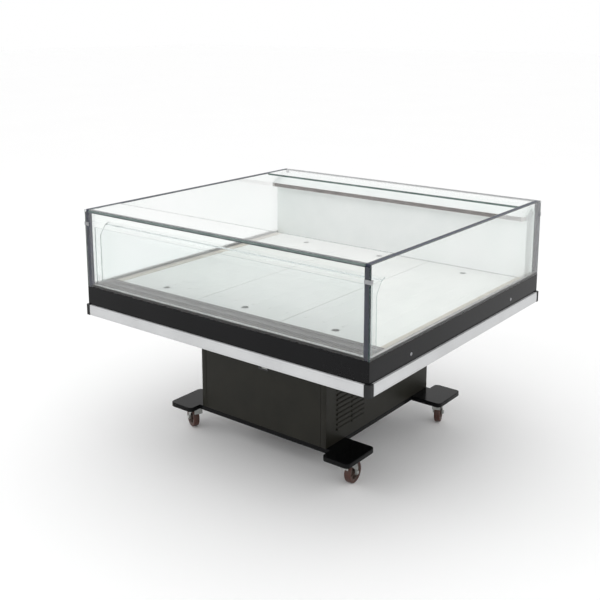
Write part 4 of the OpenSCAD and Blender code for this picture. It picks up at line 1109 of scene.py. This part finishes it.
# %% Mould the hubs and cast the tyres
def draw_hub():
    hub = bmesh.new()
    w = WHEEL_W / 2
    profile = [(AXLE_R + 0.06, -LEG_IN + 0.3), (9.4, -LEG_IN + 0.3), (11, -LEG_IN + 1.8),
               (11.6, -5.5), (24.5, -4), (25, -w + 3), (26, -w + 2), (30, -w + 2), (30.6, -w + 4),
               (31, -4), (31, 4), (30.6, w - 4), (30, w - 2), (26, w - 2), (25, w - 3), (24.5, 4),
               (11.6, 5.5), (11, LEG_IN - 1.8), (9.4, LEG_IN - 0.3), (AXLE_R + 0.06, LEG_IN - 0.3)]
    turn(hub, profile, (TRAIL, 0, WHEEL_R), "y", 48)
    for i in range(6):
        rib = bmesh.new()
        block(rib, (10.5, -w + 3.5, -1), (25.5, w - 3.5, 1))
        bmesh.ops.transform(rib, verts=rib.verts, matrix=Matrix.Translation((TRAIL, 0, WHEEL_R))
                            @ Matrix.Rotation(math.radians(60 * i + 30), 4, "Y"))
        part = bpy.data.meshes.new("rib")
        rib.to_mesh(part)
        rib.free()
        hub.from_mesh(part)
        bpy.data.meshes.remove(part)
    return hub


def draw_tyre():
    tyre = bmesh.new()
    w = WHEEL_W / 2
    crown = [(WHEEL_R - 4, w), (WHEEL_R - 2.2, w - 0.5), (WHEEL_R - 0.9, w - 2),
             (WHEEL_R - 0.2, w - 4.5), (WHEEL_R, w - 8)]
    side = [(WHEEL_R - 10, w - 1), (WHEEL_R - 8, w - 0.4), *crown]
    profile = side + [(r, -y) for r, y in side[::-1]]
    profile += [(WHEEL_R - 10, -4), (WHEEL_R - 9, -4), (WHEEL_R - 9, 4), (WHEEL_R - 10, 4)]
    turn(tyre, profile, (TRAIL, 0, WHEEL_R), "y", 64)
    return tyre


for code in CASTORS:
    place(f"castor_hub_{code}_moulded", draw_hub(), hub_nylon, f"castor_hub_{code}",
          body=f"wheel_{code}", soften=0.4, at=corner_of(code))
    place(f"castor_tyre_{code}_cast", draw_tyre(), tyre_brown, f"castor_tread_{code}",
          body=f"wheel_{code}", at=corner_of(code), sharp=50)

# %% [markdown]
# ## Brake pedals
# A pressed zinc lever turns on a pin over the wheel. Its tip is bent up and carries a black
# moulded sleeve with three grooves for the toe of a shoe.

# %% Press the pedals
def draw_pedal():
    pedal = bmesh.new()
    half = LEG_IN - 1.0
    turn(pedal, [(0, -LEG_IN - LEG_T - 1), (2.5, -LEG_IN - LEG_T - 1), (2.5, LEG_IN + LEG_T + 1),
                 (0, LEG_IN + LEG_T + 1)], (PIN_X, 0, PIN_Z), "y", 18)
    end = TRAIL + 44
    lever = [(PIN_X - 4, PIN_Z - 1.5), (end - 4, PIN_Z - 1.5), (end + 14, PIN_Z + 5.0),
             (end + 13.4, PIN_Z + 7.4), (end - 5, PIN_Z + 1.0), (PIN_X - 4, PIN_Z + 1.5)]
    push(pedal, lever, -half, half, "y")
    for side in (-1, 1):
        y0, y1 = sorted((side * half, side * (half - 1.6)))
        skirt = [(PIN_X - 4, PIN_Z + 1.4), (PIN_X - 4, PIN_Z - 4), (PIN_X + 6, PIN_Z - 4.4),
                 (end - 12, PIN_Z - 2.4), (end - 4, PIN_Z - 1.4), (end - 4, PIN_Z + 1)]
        push(pedal, skirt, y0, y1, "y")
    sleeve = [(end - 2, PIN_Z - 1.8), (end + 15.6, PIN_Z + 4.4)]
    for k, t in enumerate((1.0, 0.86, 0.8, 0.66, 0.6, 0.46, 0.4, 0.26, 0.2, 0.0)):
        up = 4.9 if k % 4 in (0, 3) else 4.1
        x = end - 3.4 + 17.4 * t
        sleeve.append((x, PIN_Z - 1.0 + 17.4 * t * 0.36 + up - 1.2))
    push(pedal, sleeve, -half - 2.6, half + 2.6, "y", finish=1)
    return pedal


for code in CASTORS:
    place(f"castor_brake_{code}_pedal", draw_pedal(), [zinc_plate, black_moulding],
          f"castor_brake_{code}", body=f"brake_{code}", soften=0.5, at=corner_of(code))

# %% [markdown]
# # The machinery
# ## Bent tube
# Copper tube is bent round a former, so its corners are smooth arcs and its section stays
# round. One more way to draw is needed for it: a ring of points that travels along a path.

# %% Draw a tube along a path
BEND_POINTS = 6


def tube(shape, points, radius, corner=0.0, sides=12, finish=0):
    """A round tube along a path, with its corners bent."""
    path = [tuple(p) for p in points]
    if corner:
        for k in reversed(range(1, len(points) - 1)):
            path = bend(path, k, corner, BEND_POINTS)
    path = [Vector(p) for p in path]
    across = (path[1] - path[0]).orthogonal().normalized()
    rings = []
    for k, point in enumerate(path):
        way = (path[min(k + 1, len(path) - 1)] - path[max(k - 1, 0)]).normalized()
        across = (across - across.dot(way) * way).normalized()
        up = way.cross(across)
        rings.append([shape.verts.new(point + radius * (math.cos(t) * across + math.sin(t) * up))
                      for t in (2 * math.pi * i / sides for i in range(sides))])
    for one, two in zip(rings, rings[1:]):
        for i in range(sides):
            j = (i + 1) % sides
            shape.faces.new((one[i], one[j], two[j], two[i])).material_index = finish
    for ring in (rings[0], rings[-1]):
        shape.faces.new(ring).material_index = finish


def middle_of(low, high):
    return [(a + b) / 2 for a, b in zip(low, high)]


def dome(radius, start, way, flat=1.0, count=8):
    """The profile of a domed end, from its wide rim to its middle."""
    angles = [math.pi / 2 * i / (count - 1) for i in range(count)]
    return [(radius * math.cos(t) * (i < count - 1), start + way * flat * radius * math.sin(t))
            for i, t in enumerate(angles)]


print("a tube follows a path with", BEND_POINTS, "points at each bend")

# %% [markdown]
# ## The compressor
# A sealed compressor is two deep drawn steel shells, welded round the middle and baked black.
# It stands on a pressed foot plate with four rubber mounts, and a moulded cover on its side
# keeps hands off the terminals.

# %% Draw the compressor
comp_low, comp_high = mm_box("compressor")
comp_x, comp_y = middle_of(comp_low, comp_high)[:2]
COMP_R, MOUNT_H, FOOT_T, WELD = 72.0, 14.0, 3.0, 2.0
shell_z0, shell_z1 = comp_low[2] + MOUNT_H + FOOT_T, comp_high[2]
seam_z = (shell_z0 + shell_z1) / 2
compressor = bmesh.new()
profile = [*dome(COMP_R, shell_z1 - COMP_R, 1)[::-1], (COMP_R, seam_z + 6),
           (COMP_R + WELD, seam_z + 4), (COMP_R + WELD, seam_z - 1), (COMP_R, seam_z - 3),
           *dome(COMP_R, shell_z0 + COMP_R, -1)]
turn(compressor, profile, (comp_x, comp_y, 0), "z", 48)
plate_z = comp_low[2] + MOUNT_H
mounts = [(comp_x + a * 76, comp_y + b * 48) for a in (-1, 1) for b in (-1, 1)]
push(compressor, rounded(comp_low[0], comp_y - 60, comp_high[0], comp_y + 60, 14), plate_z,
     plate_z + FOOT_T, "z", [ring_of(*m, 4, 14) for m in mounts])
for side in (-1, 1):
    foot = (comp_x + side * 52, comp_y)
    push(compressor, rounded(foot[0] - 12, foot[1] - 30, foot[0] + 12, foot[1] + 30, 5),
         plate_z + FOOT_T, shell_z0 + 34)
for x, y in mounts:
    grommet = [(4, 0), (10, 0), (10, 4), (8.4, 6), (8.4, 10), (10, 12), (10, MOUNT_H), (4, MOUNT_H)]
    turn(compressor, [(r, comp_low[2] + t) for r, t in grommet], (x, y, 0), "z", 24, finish=1)
    turn(compressor, [(0, plate_z + FOOT_T), (6.5, plate_z + FOOT_T), (6.5, plate_z + 7),
                      (0, plate_z + 7.6)], (x, y, 0), "z", 6, finish=2)
cover = rounded(comp_y - 22, shell_z0 + 60, comp_y + 22, shell_z0 + 110, 6)
push(compressor, cover, comp_x - COMP_R - 16, comp_x - COMP_R + 10, "x", finish=1)
place("compressor_welded", compressor, [shell_enamel, black_moulding, bolt_steel], "compressor",
      soften=0.5)

# %% [markdown]
# ## The condenser
# Warm refrigerant runs to and fro through copper tubes, and thin aluminium fins on the tubes
# give off the heat. The fins really stand about 2 mm apart. They are 5 mm apart here, so that
# they still show. The tubes turn back at the side in half rings.

# %% Stack the condenser's fins
FIN_STEP, FIN_T, COIL_R, HAIRPIN_R = 5.0, 0.8, 4.0, 9.0
cond_low, cond_high = mm_box("condenser")
plate_low_y = cond_low[1] + COIL_R + HAIRPIN_R
coil_x = (cond_low[0] + cond_high[0]) / 2
condenser = bmesh.new()


def fins(shape, low, high, along, step):
    """Thin upright sheets between two corners, one after another along an axis."""
    k = AXES[along]
    for i in range(int((high[k] - low[k]) // step)):
        a, b = list(low), list(high)
        a[k] = low[k] + (i + 0.5) * step
        b[k] = a[k] + FIN_T
        block(shape, a, b)


fins(condenser, (cond_low[0], plate_low_y + 6, cond_low[2] + 8),
     (cond_high[0], cond_high[1] - 6, cond_high[2] - 6), "y", FIN_STEP)
for y in (plate_low_y, cond_high[1] - 2):
    push(condenser, rounded(cond_low[0], cond_low[2], cond_high[0], cond_high[2], 3), y, y + 2, "y")
for i in range(8):
    z = cond_low[2] + 32 + i * 26
    for up in (-HAIRPIN_R, HAIRPIN_R):
        tube(condenser, [(coil_x, plate_low_y, z + up), (coil_x, cond_high[1] - 1, z + up)],
             COIL_R, sides=8, finish=1)
    half = [(coil_x, plate_low_y - a, z + b) for a, b in ring_of(0, 0, HAIRPIN_R, 9, -90, 90)]
    tube(condenser, half, COIL_R, sides=8, finish=1)
place("condenser_finned", condenser, [fin_aluminium, tube_copper], "condenser")

# %% [markdown]
# ## The condenser's fan
# A sheet steel shroud holds the fan close to the coil. The motor hangs in front of it on four
# bent wires, which also carry the guard rings. The blades are stamped from sheet, with a steep
# pitch at the hub and a shallow one at the tip.

# %% Fold the shroud and bend the guard
def pin(body):
    """A point on the axis that a body turns about, in mm."""
    joint = next(j for j in frame["joints"] if j["child"] == body)
    return [c / MM for c in joint["pos_m"]]


shroud_low = mm_box("condenser_shroud")[0]
fan_low, fan_high = mm_box("condenser_fan")
fan_y, fan_z = pin("condenser_fan")[1:]
FAN_R, MOTOR_R, MOTOR_L, WIRE_R = 90.0, 34.0, 45.0, 3.0
mouth_x = cond_low[0] - 50
shroud = bmesh.new()
duct_out = rect(cond_low[1] + 13, cond_low[2], cond_high[1], cond_high[2])
duct_in = rect(cond_low[1] + 15, cond_low[2] + 2, cond_high[1] - 2, cond_high[2] - 2)
push(shroud, duct_out, mouth_x, mouth_x + 2, "x", [ring_of(fan_y, fan_z, FAN_R + 5, 56)])
push(shroud, duct_out, mouth_x + 1, cond_low[0], "x", [duct_in])
lip = [(FAN_R + 4, 0), (FAN_R + 7, 0), (FAN_R + 6, -3), (FAN_R + 4, -4)]
turn(shroud, [(r, mouth_x + t) for r, t in lip], (0, fan_y, fan_z), "x", 56)
motor_x = shroud_low[0]
can = [(0, 0), (MOTOR_R - 5, 0), (MOTOR_R - 2, 2), (MOTOR_R, 6), (MOTOR_R, 18),
       (MOTOR_R - 2, 20), (MOTOR_R - 2, 26), (MOTOR_R, 28), (MOTOR_R, MOTOR_L - 4),
       (MOTOR_R - 3, MOTOR_L), (0, MOTOR_L)]
turn(shroud, [(r, motor_x + t) for r, t in can], (0, fan_y, fan_z), "x", 40)
spindle = [(0, 1), (4, 1), (4, 88), (0, 88)]
turn(shroud, [(r, motor_x + t) for r, t in spindle], (0, fan_y, fan_z), "x", 16, finish=1)
guard_x = motor_x + MOTOR_L - 7
for angle in (45, 135, 225, 315):
    out = Vector((0, math.cos(math.radians(angle)), math.sin(math.radians(angle))))
    path = [Vector((guard_x, fan_y, fan_z)) + out * (MOTOR_R - 2),
            Vector((guard_x, fan_y, fan_z)) + out * (FAN_R + 11),
            Vector((mouth_x + 1, fan_y, fan_z)) + out * (FAN_R + 11)]
    tube(shroud, path, WIRE_R, 8, 10, finish=1)
for radius in (52, 70, 88):
    hoop = [(guard_x, a, b) for a, b in ring_of(fan_y, fan_z, radius, 49)]
    tube(shroud, hoop + hoop[:1], WIRE_R / 2, sides=6, finish=1)
place("condenser_shroud_folded", shroud, [shell_enamel, zinc_plate], "condenser_shroud",
      soften=0.3)


def fan(shape, hub_r, tip_r, bore_r, length, start, way, centre, along, count=5):
    """A hub with stamped blades. The hub starts at start and runs on in the direction of way."""
    wall = [(bore_r, 0), (hub_r - 2, 0), (hub_r, 2), (hub_r, length - 3), (hub_r - 4, length),
            (bore_r, length)]
    turn(shape, [(r, start + way * t) for r, t in wall], centre, along, 36)
    spans, chords, thick = 6, 7, 1.2
    for blade in range(count):
        layers = []
        for lift in (0, thick):
            grid = []
            for i in range(spans + 1):
                u = i / spans
                radius = hub_r - 1 + u * (tip_r - hub_r)
                depth = (length - 6) * (1 - 0.45 * u)
                row = []
                for j in range(chords + 1):
                    v = j / chords - 0.5
                    angle = 2 * math.pi * blade / count + 0.22 * u + v * (0.86 - 0.12 * u)
                    t = start + way * (length / 2 + v * depth + lift - thick / 2)
                    row.append(shape.verts.new(Vector(centre) + Vector(spot(
                        radius * math.cos(angle), radius * math.sin(angle), t, along))))
                grid.append(row)
            layers.append(grid)
        for grid in layers:
            for i in range(spans):
                for j in range(chords):
                    shape.faces.new((grid[i][j], grid[i + 1][j],
                                     grid[i + 1][j + 1], grid[i][j + 1]))
        low, high = layers
        round_it = ([(i, 0) for i in range(spans)] + [(spans, j) for j in range(chords)]
                    + [(i, chords) for i in range(spans, 0, -1)]
                    + [(0, j) for j in range(chords, 0, -1)])
        for (i, j), (k, m) in zip(round_it, round_it[1:] + round_it[:1]):
            shape.faces.new((low[i][j], low[k][m], high[k][m], high[i][j]))


# %% Stamp the fan
rotor = bmesh.new()
fan(rotor, 30, FAN_R, 4.06, fan_high[0] - fan_low[0], fan_low[0], 1, (0, fan_y, fan_z), "x")
place("condenser_fan_stamped", rotor, galvanised, "condenser_fan", body="condenser_fan")

# %% [markdown]
# ## The receiver and the pipes
# The receiver is a small welded pressure vessel that stands on a ring. Four runs of drawn
# copper tube join the machinery: suction, discharge, liquid to the receiver, and liquid to the
# evaporator. Each end is brazed into a short socket.

# %% Draw the receiver and run the pipes
recv_low, recv_high = mm_box("receiver")
recv_x, recv_y, recv_z = middle_of(recv_low, recv_high)
RECV_R = (recv_high[0] - recv_low[0]) / 2
receiver = bmesh.new()
stand_ring = [(RECV_R - 9, 0), (RECV_R - 5, 0), (RECV_R - 7, 20), (RECV_R - 10, 20)]
turn(receiver, [(r, recv_low[2] + t) for r, t in stand_ring], (recv_x, recv_y, 0), "z", 36)
vessel = [*dome(RECV_R, recv_high[2] - RECV_R * 0.7, 1, 0.7)[::-1], (RECV_R, recv_z + 3),
          (RECV_R + 1.2, recv_z + 2), (RECV_R + 1.2, recv_z - 2), (RECV_R, recv_z - 3),
          *dome(RECV_R, recv_low[2] + 12 + RECV_R * 0.7, -1, 0.7)]
turn(receiver, vessel, (recv_x, recv_y, 0), "z", 40)
place("receiver_welded", receiver, shell_enamel, "receiver", soften=0.4)

PIPE_R, PIPE_Z, PIPE_BEND = 6.0, tub_low - 30, 11.5
SUCTION_X, LIQUID_X, PIPE_Y = -60.0, 60.0, 100.0
evap_low, evap_high = mm_box("evaporator")
coil_foot = evap_low[2] + 10
head_y = cond_high[1]
port = comp_low[2] + MOUNT_H + FOOT_T + COMP_R + 30
runs = [
    [(comp_x, comp_y, comp_high[2] - 3), (comp_x, comp_y, PIPE_Z), (SUCTION_X, PIPE_Y, PIPE_Z),
     (SUCTION_X, PIPE_Y, coil_foot)],
    [(comp_x + COMP_R - 3, comp_y, port), (20, comp_y, port), (20, comp_y, PIPE_Z),
     (coil_x, head_y + 24, PIPE_Z), (coil_x, head_y + 24, cond_high[2] - 26),
     (coil_x, head_y - 1, cond_high[2] - 26)],
    [(coil_x, head_y - 1, cond_low[2] + 30), (coil_x, recv_y, cond_low[2] + 30),
     (recv_x + RECV_R - 3, recv_y, cond_low[2] + 46)],
    [(recv_x, recv_y, recv_high[2] - 3), (recv_x, recv_y, PIPE_Z - 20),
     (LIQUID_X, PIPE_Y, PIPE_Z - 20), (LIQUID_X, PIPE_Y, coil_foot)],
]
pipes = bmesh.new()
for points in runs:
    tube(pipes, points, PIPE_R, PIPE_BEND, 16)
    for a, b in ((points[0], points[1]), (points[-1], points[-2])):
        end, way = Vector(a), (Vector(b) - Vector(a)).normalized()
        tube(pipes, [end, end + way * 12], PIPE_R + 1.2, sides=16)
place("refrigerant_pipes_bent", pipes, tube_copper, "refrigerant_pipes")
print(len(runs), "runs of tube")

# %% [markdown]
# ## The electrical box and the condensate tray
# The electrical box is folded sheet with a lid that hangs over its front edges and four
# screws. The tray under the drain catches meltwater. It is pressed in one piece with a rolled
# rim, and it slides out of the back by a bow handle.

# %% Fold the box and press the tray
box_low, box_high = mm_box("electrical_box")
ebox = bmesh.new()
push(ebox, rounded(box_low[0] + 1, box_low[2] + 1, box_high[0] - 1, box_high[2] - 1, 3), box_low[1],
     box_high[1] - 3, "y")
push(ebox, rounded(box_low[0], box_low[2], box_high[0], box_high[2], 4), box_high[1] - 14,
     box_high[1], "y")
for x in (box_low[0] + 12, box_high[0] - 12):
    for z in (box_low[2] + 12, box_high[2] - 12):
        head = [(0, 0), (4, 0), (3.4, 2), (0, 2.4)]
        turn(ebox, [(r, box_high[1] + t) for r, t in head], (x, 0, z), "y", 16, finish=1)
for x in (box_low[0] + 40, box_high[0] - 40):
    nut = [(0, box_low[2] + 1), (12, box_low[2] + 1), (12, box_low[2] - 6), (8, box_low[2] - 9),
           (0, box_low[2] - 9)]
    turn(ebox, nut, (x, (box_low[1] + box_high[1]) / 2, 0), "z", 6, finish=2)
place("electrical_box_folded", ebox, [grey_moulding, bolt_steel, black_moulding],
      "electrical_box", soften=0.5)

pan = bmesh.new()
pan_x0, pan_x1 = tray_low[0] + 2, tray_high[0] - 2
pan_y0, pan_y1, pan_z = tray_low[1], hy - SHEET_T - 1, tray_low[2] + 50
whole = (pan_x0 + 1, pan_y0 + 1, pan_x1 - 1, pan_y1)
push(pan, rounded(*whole, 6), tray_low[2], tray_low[2] + 2)
push(pan, rounded(*whole, 6), tray_low[2] + 1, pan_z - 1, "z",
     [rounded(pan_x0 + 3, pan_y0 + 3, pan_x1 - 3, pan_y1 - 2, 4.5)])
push(pan, rounded(pan_x0, pan_y0, pan_x1, pan_y1, 7), pan_z - 3, pan_z, "z",
     [rounded(pan_x0 + 3, pan_y0 + 3, pan_x1 - 3, pan_y1 - 2, 4.5)])
push(pan, rounded(tray_low[0], tray_low[2], tray_high[0], tray_high[2], 2), pan_y1, hy, "y")
grip_x, grip_z = (tray_low[0] + tray_high[0]) / 2, tray_high[2] - 16
tube(pan, [(grip_x - 42, hy - 0.5, grip_z), (grip_x - 42, tray_high[1] - 3, grip_z),
           (grip_x + 42, tray_high[1] - 3, grip_z), (grip_x + 42, hy - 0.5, grip_z)], 3.0, 4, 12)
place("condensate_tray_pressed", pan, galvanised, "condensate_tray", body="condensate_tray",
      soften=0.3)

# %% [markdown]
# ## The evaporator and its fans
# Under the deck a long finned coil cools the air, and two small fans behind a sheet metal
# plate push it along. Here the fins are drawn 8 mm apart, and about 5 mm is usual on a coil
# that has to keep working under frost.

# %% Stack the evaporator and hang its fans
evaporator = bmesh.new()
fins(evaporator, (evap_low[0] + 6, evap_low[1], coil_foot),
     (evap_high[0] - 6, evap_high[1], evap_high[2] - 4), "x", 8.0)
for x in (evap_low[0], evap_high[0] - 2):
    end_plate = rounded(evap_low[1], evap_low[2], evap_high[1], evap_high[2], 4)
    push(evaporator, end_plate, x, x + 2, "x")
ROWS_Y, PASS_STEP, PASS_Z = 4, 56.0, (coil_foot + 22, coil_foot + 58)
for i in range(ROWS_Y):
    y = evap_low[1] + 36 + i * PASS_STEP
    for z in PASS_Z:
        tube(evaporator, [(evap_low[0] + 1, y, z), (evap_high[0] - 1, y, z)], 5, sides=8, finish=1)
    for side, x in ((-1, evap_low[0]), (1, evap_high[0])):
        half = [(x + side * a * 0.9, y, sum(PASS_Z) / 2 + b)
                for a, b in ring_of(0, 0, 18, 9, -90, 90)]
        tube(evaporator, half, 5, sides=8, finish=1)
place("evaporator_finned", evaporator, [fin_aluminium, tube_copper], "evaporator")

deck_plate = bmesh.new()
plate_box = mm_box("fan_plate")
small = mm_box("evap_fan_right")
small_x, small_z = pin("evap_fan_right")[::2]
small_r = 42.0  # the tips stand 3 mm clear of the plate's hole
plate_y = evap_low[1] - 60
rims = [ring_of(side * small_x, small_z, small_r + 3, 40) for side in (-1, 1)]
push(deck_plate, rect(plate_box[0][0], plate_box[0][2], plate_box[1][0], plate_box[1][2]), plate_y,
     plate_y + 2, "y", rims)
for side in (-1, 1):
    centre = (side * small_x, 0, small_z)
    collar = [(small_r + 2.4, 0), (small_r + 4, 0), (small_r + 4, 5), (small_r + 2.4, 6)]
    turn(deck_plate, [(r, plate_y + t) for r, t in collar], centre, "y", 40)
    pot = [(0, 0), (16, 0), (18, 2), (18, 20), (15, 24), (0, 24)]
    turn(deck_plate, [(r, plate_y + 4 + t) for r, t in pot], centre, "y", 28, finish=1)
    turn(deck_plate, [(0, -18), (2, -18), (2, 6), (0, 6)][::-1],
         (centre[0], plate_y, small_z), "y", 12, finish=1)
    for angle in (0, 90, 180, 270):
        out = Vector((math.cos(math.radians(angle)), 0, math.sin(math.radians(angle))))
        base_point = Vector((centre[0], plate_y + 6.5, small_z))
        tube(deck_plate, [base_point + out * 15, base_point + out * (small_r + 5.5),
                          base_point + out * (small_r + 5.5) - Vector((0, 4, 0))], 1.8, 3, 8,
             finish=1)
place("fan_plate_pressed", deck_plate, [galvanised, shell_enamel], "fan_plate", soften=0.2)

for name, side in (("evap_fan_left", -1), ("evap_fan_right", 1)):
    rotor = bmesh.new()
    fan(rotor, 15, small_r, 2.06, small[1][1] - small[0][1], small[1][1], -1,
        (side * small_x, 0, small_z), "y")
    place(name + "_moulded", rotor, black_moulding, name, body=name)
